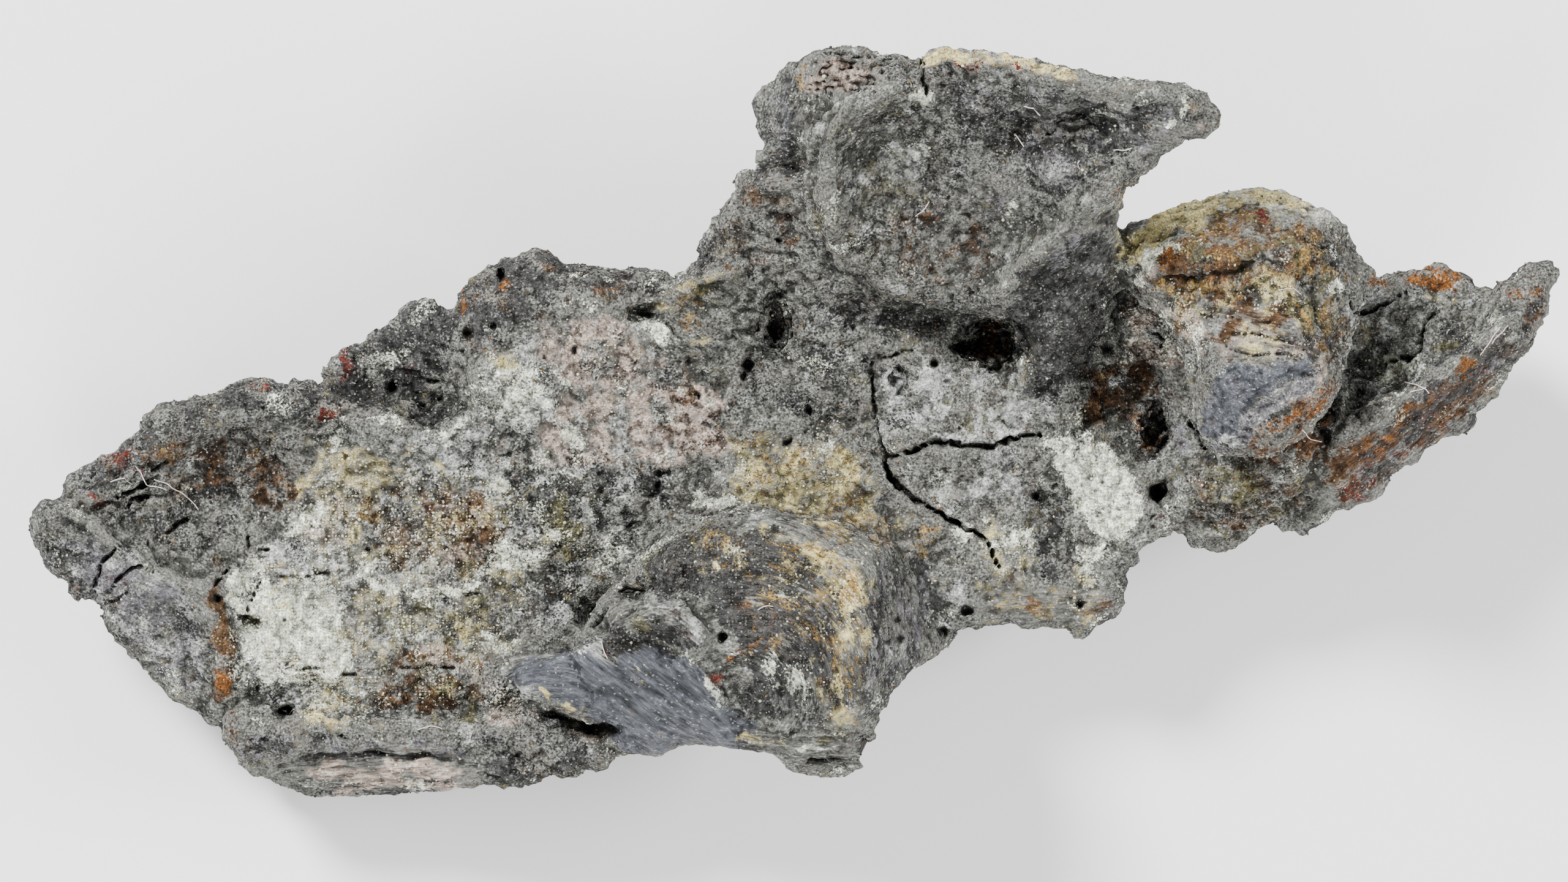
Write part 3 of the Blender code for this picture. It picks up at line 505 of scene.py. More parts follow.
# %% Pits
PITS = [
    (3.22, 1.3, 0.44, 0.34, -0.85, 12), (2.82, 1.24, 0.12, 0.07, 0.3, 0), (1.63, 0.70, 0.16, 0.2, -0.3, 0),
    (2.32, 0.96, 0.06, 0.06, 0.3, 0), (5.80, -0.08, 0.24, 0.36, -0.75, 10), (5.92, -1.12, 0.1, 0.12, 0.5, 0),
    (-0.3, 1.64, 0.28, 0.44, -0.5, 15), (-0.72, 0.96, 0.08, 0.07, 0.3, 0), (-0.80, 0.75, 0.05, 0.05, 0.2, 0),
    (-0.09, -0.32, 0.09, 0.05, 0.25, 0), (0.29, 0.2, 0.05, 0.08, 0.25, 0), (-1.12, -3.48, 0.08, 0.08, 0.4, 0),
    (-2.61, -2.79, 0.16, 0.08, 0.4, 0), (-2.17, -0.82, 0.06, 0.06, 0.25, 0), (-2.02, -0.81, 0.05, 0.05, 0.2, 0),
    (-2.2, -1.0, 0.05, 0.05, 0.2, 0), (-4.75, 2.41, 0.07, 0.1, 0.5, 0), (-6.54, 0.58, 0.09, 0.09, 0.3, 0),
    (-6.03, 0.28, 0.05, 0.05, 0.2, 0), (-5.75, 0.39, 0.05, 0.05, 0.2, 0), (-5.85, 0.68, 0.1, 0.05, 0.2, 0),
    (-7.5, -0.19, 0.16, 0.16, -0.22, 0), (4.5, 4.8, 0.4, 0.18, -0.35, 0), (-5.29, 1.46, 0.1, 0.08, 0.2, 0),
    (-4.88, 1.58, 0.06, 0.06, 0.2, 0),
    (-6.93, -2.06, 0.05, 0.05, 0.2, 0), (-8.85, -3.2, 0.18, 0.05, 0.25, -25), (-9.39, -2.85, 0.08, 0.08, 0.3, 0),
    (-2.45, 1.80, 0.2, 0.06, 0.22, -10), (3.97, -1.20, 0.06, 0.06, 0.2, 0), (4.87, 1.89, 0.05, 0.05, 0.15, 0),
    (5.16, 1.24, 0.07, 0.07, 0.25, 0), (-0.22, 2.97, 0.05, 0.05, 0.15, 0), (9.05, 0.3, 0.18, 0.27, -0.35, 0),
    (8.72, -0.2, 0.09, 0.16, 0.35, 20), (1.7, -3.2, 0.07, 0.05, 0.2, 0), (1.75, -3.5, 0.06, 0.06, 0.2, 0),
    (1.55, -3.55, 0.05, 0.05, 0.2, 0), (-8.27, -4.71, 0.15, 0.07, 0.35, 0), (4.7, -2.95, 0.07, 0.06, 0.2, 0),
    (2.85, -3.05, 0.1, 0.08, 0.3, 0), (2.45, -3.4, 0.1, 0.08, 0.3, 0), (-2.6, -1.67, 0.15, 0.05, 0.15, 20),
    (-2.25, -1.13, 0.12, 0.06, 0.15, 20), (4.0, 4.5, 0.3, 0.2, 0.12, 30), (3.75, 4.8, 0.2, 0.14, 0.1, 0),
    (2.53, 0.69, 0.04, 0.04, 0.15, 0), (2.0, 5.15, 0.1, 0.08, 0.2, 0),
]
# cavity marks each pit so that the material can paint shade into it.
cavity = np.zeros(len(points))
for x, y, half_x, half_y, depth, turn in PITS:
    chosen = close_to(points[:, :2], [(x, y)], max(half_x, half_y) * 2)
    ragged = bent(points[chosen, :2], 0.14, 0.16 * min(0.4, half_x + half_y))
    hole = ellipse(ragged, x, y, half_x, half_y, turn, 0.45)
    hole *= facing[chosen, 2] > -0.2
    points[chosen, 2] -= 0.75 * depth * hole * (1 + 0.3 * noise(points[chosen], 0.1, 53))
    cavity[chosen] = np.maximum(cavity[chosen], hole * (0.6 if depth < 0 else 1))
print("pits:", len(PITS))

# %% [markdown]
# ## Cracks
# Shrinkage cracks are dark lines with sharp lips. Each is a line with a half width and a depth. The line
# wanders with fine noise, and the crack is widest in its middle and thins out at its ends.

# %% Cracks
CRACKS = [
    ([(1.40, -0.15), (1.50, -0.54), (1.65, -0.54), (2.01, -0.44), (2.27, -0.29), (2.78, -0.36),
      (3.29, -0.41), (3.53, -0.27), (3.78, -0.20), (4.12, -0.20)], 0.055, 0.35),
    ([(1.30, 1.0), (1.33, 0.5), (1.36, 0.1), (1.40, -0.15)], 0.035, 0.15),
    ([(1.50, -0.54), (1.50, -0.64), (1.63, -0.92), (1.91, -1.18), (2.37, -1.46), (2.68, -1.64),
      (2.98, -1.77), (3.19, -1.92), (3.29, -2.18), (3.37, -2.38)], 0.06, 0.4),
    ([(1.39, 1.02), (1.63, 1.09), (2.02, 1.22)], 0.03, 0.15),
    ([(-11.0, -2.04), (-11.27, -2.29), (-11.35, -2.54), (-11.39, -2.77)], 0.04, 0.2),
    ([(-10.39, -2.42), (-10.64, -2.33), (-10.83, -2.40), (-11.02, -2.58), (-11.18, -2.79)], 0.04, 0.2),
    ([(-10.85, -2.76), (-11.04, -2.90), (-11.25, -2.96)], 0.03, 0.15),
    ([(-9.18, -2.33), (-9.31, -2.52), (-9.48, -2.67)], 0.035, 0.15),
    ([(-8.70, -2.58), (-8.83, -2.88), (-8.89, -3.10)], 0.03, 0.15),
    ([(-8.87, -1.79), (-8.89, -2.04), (-8.54, -2.04)], 0.045, 0.2),
    ([(-9.85, -1.54), (-10.04, -1.67), (-10.25, -1.85)], 0.05, 0.2),
    ([(-10.45, -1.19), (-10.77, -1.25), (-10.87, -1.40)], 0.05, 0.25),
    ([(-10.52, -1.0), (-10.81, -1.13), (-11.06, -1.23)], 0.05, 0.25),
    ([(-10.18, -0.65), (-10.48, -0.79)], 0.05, 0.2),
    ([(-8.06, -4.03), (-7.77, -4.0), (-7.6, -3.99)], 0.04, 0.15),
    ([(-7.4, -4.07), (-7.1, -4.1)], 0.035, 0.12), ([(-6.4, -4.0), (-5.95, -3.95), (-5.5, -4.0)], 0.04, 0.12),
    ([(-5.4, -2.78), (-5.1, -2.8)], 0.05, 0.12), ([(-8.5, -2.47), (-8.1, -2.5), (-7.5, -2.42)], 0.03, 0.08),
    ([(6.43, 0.07), (6.60, -0.22), (6.72, -0.44)], 0.045, 0.25),
    ([(9.02, 1.98), (9.15, 1.80), (9.32, 1.78), (9.63, 1.93), (10.02, 2.13)], 0.04, 0.2),
    ([(10.50, 1.85), (10.32, 1.63), (10.24, 1.37), (10.24, 1.19), (10.06, 1.05), (9.89, 1.05),
      (9.63, 0.95)], 0.045, 0.25),
    ([(6.9, 1.5), (7.4, 1.45), (8.0, 1.35), (8.35, 1.15)], 0.03, 0.1),
    ([(7.0, 1.25), (7.4, 1.1), (7.8, 1.12), (8.2, 1.1)], 0.03, 0.1),
    ([(6.6, 1.75), (7.2, 1.7), (7.8, 1.6)], 0.025, 0.08), ([(5.9, 1.5), (6.05, 1.35), (6.0, 1.2)], 0.04, 0.15),
    ([(-3.3, -3.3), (-3.14, -3.2), (-3.0, -3.0)], 0.06, 0.25),
    ([(0.2, -5.5), (0.8, -5.5)], 0.04, 0.2),
    ([(2.1, 5.9), (2.12, 5.6), (2.2, 5.3)], 0.05, 0.2),
]
ALLIGATOR_ROWS = 6
for row in range(ALLIGATOR_ROWS):
    height = 5.98 - 0.11 * row
    start, end = 0.34 - 0.02 * row, 1.62 - 0.05 * row
    CRACKS.append(([(start, height - 0.03), (0.7, height + 0.03), (1.1, height - 0.02), (end, height - 0.06)],
                   0.022, 0.1))
    for across in range(4):
        x = start + 0.13 + 0.33 * across + 0.15 * (row % 2)
        CRACKS.append(([(x, height), (x + 0.03, height - 0.11)], 0.02, 0.08))
# crevice marks each crack so that the material can paint shade into it.
crevice = np.zeros(len(points))


def open_cracks(lines):
    for line, half_width, depth in lines:
        chosen = close_to(points[:, :2], line, half_width * 3 + 0.1)
        away, way = near_line(bent(points[chosen, :2], 0.16, 0.03), line)
        width = half_width * (0.3 + 0.7 * np.sqrt(np.clip(4 * way * (1 - way), 0, 1)))
        width *= 0.85 + 0.5 * noise(points[chosen], 0.2, 44)
        gap = 1 - soft_step(0.15 * width, 1.15 * width, away)
        gap *= facing[chosen, 2] > -0.2
        points[chosen] -= (facing[chosen] * 0.4 + (0, 0, 0.6)) * (depth * gap)[:, None]
        crevice[chosen] = np.maximum(crevice[chosen], gap)


open_cracks(CRACKS)
write_points(points)
points, facing = read_points()
print("cracks:", len(CRACKS))

# %% [markdown]
# ## Fewer triangles underneath
# The underside is plain and rests on the table, so it can do with larger triangles. The Decimate modifier
# merges points there first, because of a vertex group, and the top keeps its detail.

# %% Fewer triangles underneath
MOST_TRIANGLES = 190000


def store(owner, name, values):
    """Keeps one number for each point of a mesh, as an attribute that a material reads."""
    owner.attributes.new(name, "FLOAT", "POINT").data.foreach_set("value", values.astype(np.float32))


store(mesh, "cavity", cavity)
store(mesh, "crevice", crevice)
group = skin.vertex_groups.new(name="underneath")
under = facing[:, 2] < -0.25
group.add(np.flatnonzero(under).tolist(), 1.0, "REPLACE")
group.add(np.flatnonzero(~under).tolist(), 0.12, "REPLACE")
triangulate = skin.modifiers.new("triangles", "TRIANGULATE")
fewer = skin.modifiers.new("fewer_underneath", "DECIMATE")
fewer.ratio = min(1.0, MOST_TRIANGLES / (2 * len(mesh.polygons)))
fewer.vertex_group = group.name
fewer.vertex_group_factor = 1.0
mesh = finish_modifiers(skin)
skin.vertex_groups.clear()
points, facing = read_points()
print("triangles in the skin:", len(mesh.polygons))

# %% [markdown]
# ## Where each stain lies
# The colours come from a dozen minerals and stains. Each kind gets a number between 0 and 1 at every point
# of the skin, stored as an attribute: how much of it there is. `FIELDS` are outlines, each with the kinds
# that fill it. `SPOTS` are ellipses, listed by kind. `STROKES` are lines with a half width. All are given
# in mm, and noise breaks them up. Where several of a kind meet, the strongest counts.

# %% Where each stain lies
KINDS = ("white", "cream", "ochre", "rust", "red", "brown", "olive", "pink", "lead", "pale", "dark", "violet")
FIELDS = [
    ({"pale": 0.4}, [(-12.2, -1.9), (-11.2, -1.8), (-10.0, -2.6), (-9.5, -3.0), (-9.7, -4.6), (-10.5, -4.1),
     (-11.3, -3.1)]),
    ({"dark": 0.8}, [(-2.4, -2.25), (-1.2, -1.8), (0.2, -2.0), (0.3, -2.6), (-0.9, -2.8), (-2.2, -2.8)]),
    ({"cream": 0.56, "ochre": 0.42}, [(-0.2, -1.75), (0.5, -1.9), (1.2, -2.4), (1.35, -3.0), (0.9, -3.2),
     (0.5, -2.6), (0.1, -2.2)]),
    ({"cream": 0.42}, [(0.6, -3.2), (1.3, -3.1), (1.2, -4.9), (0.5, -4.9)]),
    ({"dark": 0.46}, [(0.4, 1.5), (0.5, 2.3), (1.4, 2.1), (2.6, 1.9), (3.3, 2.1), (3.2, 1.8), (2.4, 1.4),
     (1.3, 1.2)]),
    ({"violet": 0.34}, [(0.4, 1.5), (0.5, 2.3), (1.4, 2.1), (2.6, 1.9), (3.3, 2.1), (2.4, 1.4), (1.3, 1.2)]),
    ({"dark": 0.36}, [(-0.5, 1.4), (0.3, 2.2), (1.3, 2.0), (1.3, 0.2), (0.3, -0.1), (-0.6, 0.3), (-1.0, 0.9)]),
    ({"brown": 0.3, "dark": 0.26}, [(-2.2, 0.6), (-1.0, 0.8), (-0.4, 0.2), (-0.6, -0.5), (-1.9, -0.6),
     (-2.4, 0.0)]),
    ({"brown": 0.34}, [(-1.5, 3.0), (-0.6, 4.1), (0.2, 4.2), (0.2, 3.0), (-0.2, 2.4), (-1.3, 2.4)]),
    ({"dark": 0.36, "olive": 0.3}, [(10.4, 2.1), (11.6, 2.1), (12.0, 2.2), (11.4, 1.5), (10.9, 1.0), (10.3, 0.8),
     (10.4, 1.4)]),
    ({"dark": 0.6}, [(9.4, 0.1), (10.6, 0.9), (11.7, 1.7), (12.3, 2.4), (12.3, 1.8), (11.7, 1.0), (10.8, 0.3),
     (9.8, -0.4)]),
    ({"violet": 0.36}, [(-0.6, 5.6), (0.0, 5.5), (0.3, 4.8), (0.2, 4.2), (-0.5, 4.3)]),
    ({"cream": 0.34}, [(-1.8, -1.8), (-0.8, -1.7), (-0.6, -2.4), (-1.3, -2.6), (-1.9, -2.3)]),
    ({"ochre": 0.3}, [(-1.6, -1.8), (-0.8, -1.7), (-0.6, -2.4), (-1.2, -2.6)]),
    ({"dark": 0.5}, [(-0.2, -1.9), (1.0, -2.2), (1.5, -3.0), (1.4, -4.6), (0.6, -4.9), (0.1, -3.8), (-0.4, -2.8)]),
    ({"pink": 0.45, "white": 0.34, "red": 0.22}, [(5.3, 0.9), (5.4, 1.9), (6.6, 1.9), (6.9, 1.2), (6.5, 0.8)]),
    ({"pale": 0.5, "white": 0.42}, [(9.3, 0.2), (9.5, 1.1), (10.2, 1.3), (10.3, 0.8), (9.8, 0.4)]),
    ({"olive": 0.34}, [(-1.1, -0.1), (1.2, -0.3), (1.5, -1.2), (1.0, -2.0), (0.1, -1.6), (-1.0, -1.3)]),
    ({"dark": 0.55}, [(-0.6, -2.4), (0.5, -2.2), (1.2, -3.0), (1.2, -4.6), (0.4, -4.9), (-0.4, -4.4),
     (-0.8, -3.2)]),
    ({"ochre": 0.3}, [(1.0, -0.4), (1.4, -1.2), (2.6, -1.6), (2.4, -2.2), (1.2, -2.3), (0.2, -1.8)]),
    ({"white": 0.62}, [(-9.25, -2.6), (-8.9, -2.15), (-8.5, -2.3), (-8.6, -2.7), (-8.9, -3.0), (-9.2, -3.0)]),
    ({"white": 0.76}, [(-8.8, -2.6), (-8.0, -2.5), (-7.3, -2.7), (-7.2, -3.4), (-7.4, -4.2), (-8.2, -4.4),
     (-9.0, -4.3), (-9.1, -3.4)]),
    ({"cream": 0.55}, [(-8.7, -2.7), (-8.0, -2.6), (-7.5, -2.8), (-7.4, -3.6), (-8.0, -3.7), (-8.6, -3.4)]),
    ({"pale": 0.6}, [(-8.7, -1.9), (-7.6, -1.9), (-7.0, -2.2), (-7.2, -2.5), (-8.4, -2.5)]),
    ({"brown": 0.52}, [(-6.75, -1.4), (-6.1, -1.4), (-6.0, -2.3), (-6.6, -2.5)]),
    ({"pink": 0.5, "brown": 0.46}, [(-6.2, -1.1), (-5.0, -1.1), (-4.7, -1.9), (-5.2, -2.4), (-6.1, -2.3)]),
    ({"pink": 0.5}, [(-8.0, -1.3), (-7.2, -1.25), (-7.0, -1.9), (-7.6, -2.05), (-8.1, -1.8)]),
    ({"dark": 0.46}, [(-6.1, -2.95), (-4.7, -2.9), (-4.6, -3.5), (-5.9, -3.55)]),
    ({"rust": 0.3, "pink": 0.6}, [(-6.05, -3.6), (-5.2, -3.55), (-4.8, -3.9), (-5.2, -4.15), (-5.9, -4.0)]),
    ({"brown": 0.52}, [(-6.9, -4.1), (-5.6, -4.0), (-5.1, -4.5), (-5.6, -4.8), (-6.8, -4.7)]),
    ({"olive": 0.45}, [(-6.0, -4.2), (-5.0, -4.3), (-5.0, -4.9), (-6.0, -4.9)]),
    ({"pink": 0.55, "pale": 0.6}, [(-5.0, -4.1), (-4.6, -4.3), (-4.1, -4.6), (-4.2, -4.9), (-5.0, -4.9)]),
    ({"olive": 0.5, "dark": 0.5}, [(-4.4, -1.0), (-3.3, -0.8), (-3.3, -2.3), (-4.1, -2.3)]),
    ({"dark": 0.46}, [(-5.0, -2.4), (-3.4, -2.3), (-3.4, -3.2), (-4.9, -3.2)]),
    ({"cream": 0.46}, [(-7.7, -0.4), (-6.5, -0.4), (-6.4, -1.0), (-7.6, -1.1)]),
    ({"pale": 0.5}, [(-6.5, -0.2), (-5.0, -0.1), (-5.0, -0.9), (-6.4, -0.9)]),
    ({"cream": 0.42, "ochre": 0.26}, [(-8.0, -4.2), (-6.9, -4.1), (-6.9, -4.9), (-8.0, -4.9)]),
    ({"white": 0.46, "pink": 0.5}, [(5.45, 2.25), (5.55, 2.7), (6.1, 2.95), (6.6, 3.0), (6.5, 2.75), (5.9, 2.6),
     (5.75, 2.2)]),
    ({"rust": 0.4}, [(5.8, 2.35), (5.9, 2.75), (6.35, 2.75), (6.4, 2.45)]),
    ({"brown": 0.75}, [(6.0, 2.3), (6.1, 2.85), (7.0, 2.95), (7.6, 2.7), (7.5, 2.45), (6.8, 2.35)]),
    ({"ochre": 0.5}, [(5.8, 2.05), (5.9, 2.35), (7.0, 2.35), (7.4, 2.25), (7.2, 2.05)]),
    ({"brown": 0.52}, [(6.5, 3.0), (6.9, 3.5), (7.6, 3.5), (7.6, 3.1), (7.2, 2.95)]),
    ({"ochre": 0.5}, [(8.1, 2.3), (8.15, 2.9), (8.6, 2.9), (8.85, 2.3)]),
    ({"white": 0.4}, [(7.2, 2.2), (7.7, 2.45), (7.95, 2.3), (8.1, 1.8), (7.6, 2.0)]),
    ({"cream": 0.5}, [(7.1, 2.2), (7.7, 2.55), (8.05, 2.4), (8.3, 1.9), (8.25, 1.5), (8.0, 1.8)]),
    ({"olive": 0.36, "brown": 0.55}, [(8.3, 2.1), (8.9, 2.0), (9.0, 1.2), (8.7, 0.7), (8.5, 1.2), (8.3, 1.6)]),
    ({"pink": 0.5, "cream": 0.36, "red": 0.26}, [(6.9, 1.0), (7.0, 1.7), (8.0, 1.6), (8.5, 1.2), (8.45, 1.05),
     (7.9, 1.1), (7.6, 0.9)]),
    ({"violet": 0.75, "pale": 0.6}, [(8.45, 0.8), (8.5, 0.6), (7.9, 0.1), (7.3, -0.35), (6.8, -0.45), (6.9, -0.2),
     (7.3, 0.2), (7.9, 0.5)]),
    ({"violet": 0.7}, [(6.2, 0.0), (6.4, 0.05), (6.65, -0.5), (6.3, -0.6)]),
    ({"rust": 0.46}, [(7.9, -0.2), (8.1, 0.25), (8.6, 0.6), (8.75, 0.2), (8.3, -0.15)]),
    ({"brown": 0.5}, [(7.3, -0.3), (8.2, 0.0), (8.9, 0.3), (8.8, -0.6), (8.0, -0.8), (7.2, -0.7)]),
    ({"pale": 0.42}, [(9.0, 1.9), (9.7, 2.2), (10.4, 2.2), (10.3, 1.2), (9.6, 0.9), (9.0, 1.0)]),
    ({"dark": 0.5}, [(-12.5, -1.4), (-11.9, -1.1), (-11.3, -1.9), (-11.5, -2.4), (-11.5, -3.0), (-12.2, -2.6),
     (-12.5, -2.0)]),
    ({"dark": 0.42}, [(-9.3, -5.2), (-8.6, -4.9), (-7.0, -5.1), (-5.0, -5.1), (-3.6, -4.9), (-3.3, -5.3),
     (-5.0, -5.5), (-8.0, -5.5), (-8.9, -5.7)]),
    ({"violet": 0.42}, [(-9.3, -5.2), (-8.6, -4.9), (-7.0, -5.1), (-5.0, -5.1), (-3.6, -4.9), (-5.0, -5.5),
     (-8.0, -5.5), (-8.9, -5.7)]),
    ({"violet": 0.24}, [(0.6, 4.6), (2.2, 5.3), (4.4, 4.6), (4.6, 3.4), (3.2, 2.4), (1.4, 2.6)]),
    ({"olive": 0.3}, [(0.4, 5.0), (1.6, 5.3), (2.6, 4.4), (2.4, 3.2), (1.2, 2.4), (0.4, 3.2)]),
    ({"brown": 0.32}, [(1.4, 3.6), (3.0, 3.6), (3.6, 2.6), (2.8, 2.0), (1.4, 2.3)]),
    ({"violet": 0.42}, [(3.4, 2.4), (5.2, 3.6), (5.2, 1.9), (4.4, 2.1), (3.7, 1.9)]),
    ({"brown": 0.36}, [(-5.3, 2.3), (-4.3, 2.9), (-2.4, 2.5), (-2.6, 2.1), (-4.2, 1.6), (-5.4, 1.2)]),
    ({"pale": 0.36}, [(-7.2, -0.4), (-6.2, -0.3), (-5.2, 0.1), (-4.8, 1.2), (-3.5, 1.9), (-2.2, 1.6), (-1.9, 0.8),
     (-1.4, 0.0), (-2.0, -1.2), (-3.2, -2.2), (-3.6, -3.3), (-4.5, -3.7), (-3.9, -4.5), (-5, -4.9), (-7.3, -4.9),
     (-8.9, -4.6), (-9.2, -3.5), (-9.3, -2.7), (-8.9, -2.2), (-8.3, -1.6), (-7.8, -0.9)]),
    ({"olive": 0.3}, [(-7.8, -0.6), (-6.0, -0.5), (-4.5, -1.0), (-4.2, -3.0), (-5.5, -4.6), (-6.8, -4.4),
     (-7.2, -2.6)]),
    ({"dark": 0.3}, [(-7.0, -0.5), (-5.4, -0.4), (-3.4, -0.6), (-3.4, -2.6), (-4.4, -3.6), (-5.6, -3.4),
     (-6.6, -2.2), (-7.4, -1.2)]),
    ({"white": 0.2}, [(-7.2, -0.4), (-6.2, -0.3), (-5.2, 0.1), (-4.8, 1.2), (-3.5, 1.9), (-2.2, 1.6), (-2.4, 0.8),
     (-2.9, -0.6), (-3.2, -2.2), (-3.6, -3.3), (-4.5, -3.7), (-3.9, -4.5), (-5, -4.9), (-7.3, -4.9), (-8.9, -4.6),
     (-9.2, -3.5), (-9.3, -2.7), (-8.9, -2.2), (-8.3, -1.6), (-7.8, -0.9)]),
    ({"dark": 0.36}, [(-10.6, 0.1), (-9, 0.8), (-7.7, 0.7), (-7.6, -0.2), (-7.9, -1.0), (-8.6, -1.7), (-9.3, -2.3),
     (-10.3, -2.4), (-11.1, -1.9), (-12.0, -1.3), (-11.3, -0.6)]),
    ({"dark": 0.54}, [(-7.7, 0.3), (-7.6, 1.1), (-6.9, 1.5), (-6.2, 2.1), (-5.6, 1.9), (-5.4, 1.0), (-5.35, 0.2),
     (-5.8, -0.15), (-6.5, 0.0), (-7.1, 0.2)]),
    ({"dark": 0.5}, [(-5.5, 2.1), (-4.8, 2.8), (-3.9, 2.9), (-2.0, 2.5), (-2.2, 2.15), (-3.9, 2.2), (-4.2, 1.5),
     (-5.4, 1.3)]),
    ({"dark": 0.3}, [(0.5, 5.0), (2.0, 5.4), (2.2, 6.0), (4.2, 5.5), (6.5, 5.2), (6.2, 4.5), (5.2, 3.7), (3.5, 2.4),
     (3.3, 1.7), (2.0, 1.3), (0.6, 2.4), (0.3, 3.6)]),
    ({"dark": 0.55}, [(3.7, 0.5), (3.9, 1.2), (4.4, 2.2), (5.1, 2.1), (4.9, 1.0), (4.4, 0.4)]),
    ({"pale": 0.48}, [(1.35, 0.95), (2.6, 1.0), (3.1, 0.95), (3.6, 0.9), (3.7, 0.45), (4.35, 0.4), (4.3, 0.05),
     (4.0, -0.15), (3.5, -0.2), (2.8, -0.35), (2.3, -0.3), (1.65, -0.5), (1.35, -0.1)]),
    ({"pale": 0.32}, [(1.6, -0.6), (2.3, -0.4), (3.4, -0.4), (4.2, -0.3), (4.2, -1.0), (3.6, -1.4), (2.6, -1.4),
     (1.9, -1.1)]),
    ({"white": 0.72}, [(4.1, -0.3), (4.6, -0.2), (5.3, -0.5), (5.7, -0.9), (5.6, -1.6), (5.3, -2.2), (4.9, -2.5),
     (4.5, -2.4), (4.7, -1.7), (4.6, -1.2), (4.2, -0.8)]),
    ({"white": 0.4, "cream": 0.5}, [(3.2, -1.6), (3.9, -1.7), (3.9, -2.5), (3.4, -2.6), (3.1, -2.2)]),
    ({"dark": 0.5}, [(3.9, -1.4), (4.5, -1.3), (4.5, -2.4), (4.0, -2.6)]),
    ({"dark": 0.1}, [(9.0, 1.9), (9.7, 2.2), (10.4, 2.2), (11.3, 1.7), (10.9, 1.1), (10.2, 0.7), (9.6, 0.3),
     (9.0, 0.1), (8.9, 0.8)]),
    ({"dark": 0.26}, [(-0.4, 3.6), (-1.5, 2.7), (-1.2, 2.0), (-0.6, 1.2), (0.2, 1.0), (1.0, 1.4), (0.4, 2.6),
     (0.2, 3.4)]),
    ({"violet": 0.5}, [(-12.2, -1.9), (-11.2, -1.8), (-10.0, -2.6), (-9.5, -3.0), (-9.7, -4.6), (-10.5, -4.1),
     (-11.3, -3.1)]),
    ({"pink": 0.56}, [(-4.4, 1.4), (-3.0, 1.8), (-2.2, 1.2), (-1.1, 0.6), (-0.9, -0.4), (-2.0, -0.7), (-4.0, -0.8),
     (-4.2, 0.0), (-3.6, 0.6)]),
    ({"dark": 0.42}, [(-3.4, -0.9), (-2.0, -0.6), (-1.6, -1.3), (-2.6, -2.0), (-3.6, -1.8)]),
    ({"dark": 0.5}, [(-2.6, -2.3), (-1.5, -1.7), (-0.2, -1.8), (0.9, -2.2), (-0.2, -2.7), (-1.2, -3.0),
     (-2.2, -2.7), (-3.0, -2.9)]),
    ({"violet": 0.4}, [(1.3, -2.2), (2.4, -2.0), (2.6, -3.3), (1.8, -4.0), (1.3, -4.7), (1.2, -3.2)]),
    ({"cream": 0.38, "ochre": 0.28}, [(-1.1, -0.1), (1.2, -0.3), (1.5, -1.2), (1.0, -2.0), (0.1, -1.6),
     (-1.0, -1.3)]),
    ({"brown": 0.5}, [(4.5, 0.1), (4.8, 1.0), (5.8, 1.0), (6.3, 0.3), (5.6, 0.0), (5.2, -0.3)]),
    ({"pale": 0.3, "olive": 0.34, "brown": 0.34, "dark": 0.34}, [(6.5, -0.6), (8.3, -0.6), (8.5, -1.5), (7.1, -2.0),
     (6.3, -1.5)]),
    ({"olive": 0.32}, [(5.3, 2.6), (6.2, 3.4), (7.5, 3.8), (8.9, 3.2), (9.1, 2.4), (8.3, 1.7), (7.6, 2.2),
     (6.0, 2.4)]),
    ({"violet": 0.4}, [(8.9, -0.3), (10.2, 0.5), (11.5, 1.5), (12.3, 2.4), (11.6, 0.9), (10.3, -0.5), (9.0, -1.3)]),
    ({"brown": 0.48}, [(8.9, -0.3), (9.5, 0.1), (10.2, 0.5), (10.9, 0.95), (11.5, 1.5), (12.3, 2.4), (12.4, 1.9),
     (11.6, 0.9), (11.1, 0.1), (10.3, -0.5), (9.5, -1.2), (8.8, -1.4), (8.4, -1.0)]),
    ({"red": 0.3}, [(9.0, -0.5), (10.2, 0.3), (11.2, 1.0), (11.6, 0.8), (10.5, -0.4), (9.3, -1.3), (8.7, -1.2)]),
    ({"dark": 0.26}, [(5.3, 0.9), (6.3, 0.8), (8.6, 1.0), (8.8, 2.2), (6.0, 2.4), (5.3, 2.2)]),
    ({"brown": 0.5}, [(6.2, 1.4), (7.0, 1.3), (8.3, 1.2), (8.5, 1.8), (7.9, 2.5), (6.2, 2.4)]),
    ({"dark": 0.24}, [(6.5, -0.5), (8.4, -0.5), (8.6, -1.2), (7.2, -2.0), (6.3, -1.6)]),
    ({"brown": 0.48}, [(5.6, 2.5), (6.4, 3.1), (7.6, 3.6), (8.7, 3.2), (8.9, 2.5), (8.2, 2.2), (6.9, 2.4)]),
    ({"dark": 0.48}, [(9.2, -0.4), (10.4, 0.4), (11.4, 1.3), (12.0, 1.9), (11.3, 0.5), (10.2, -0.4), (9.4, -1.1)]),
    ({"dark": 0.6}, [(3.6, 2.4), (4.4, 2.9), (5.2, 3.4), (5.3, 2.2), (5.0, 1.0), (4.4, 0.4), (3.8, 0.6),
     (3.6, 1.4)]),
    ({"pink": 0.28}, [(6.2, 1.0), (7.0, 1.1), (8.3, 1.0), (8.5, 1.6), (7.6, 2.2), (6.2, 2.2)]),
    ({"cream": 0.3}, [(6.0, 1.6), (7.2, 1.5), (8.2, 1.6), (8.0, 2.4), (7.0, 2.3), (6.1, 2.3)]),
    ({"dark": 0.4}, [(8.0, 3.4), (8.9, 3.2), (9.2, 2.5), (8.9, 1.9), (8.5, 2.4), (8.1, 2.9)]),
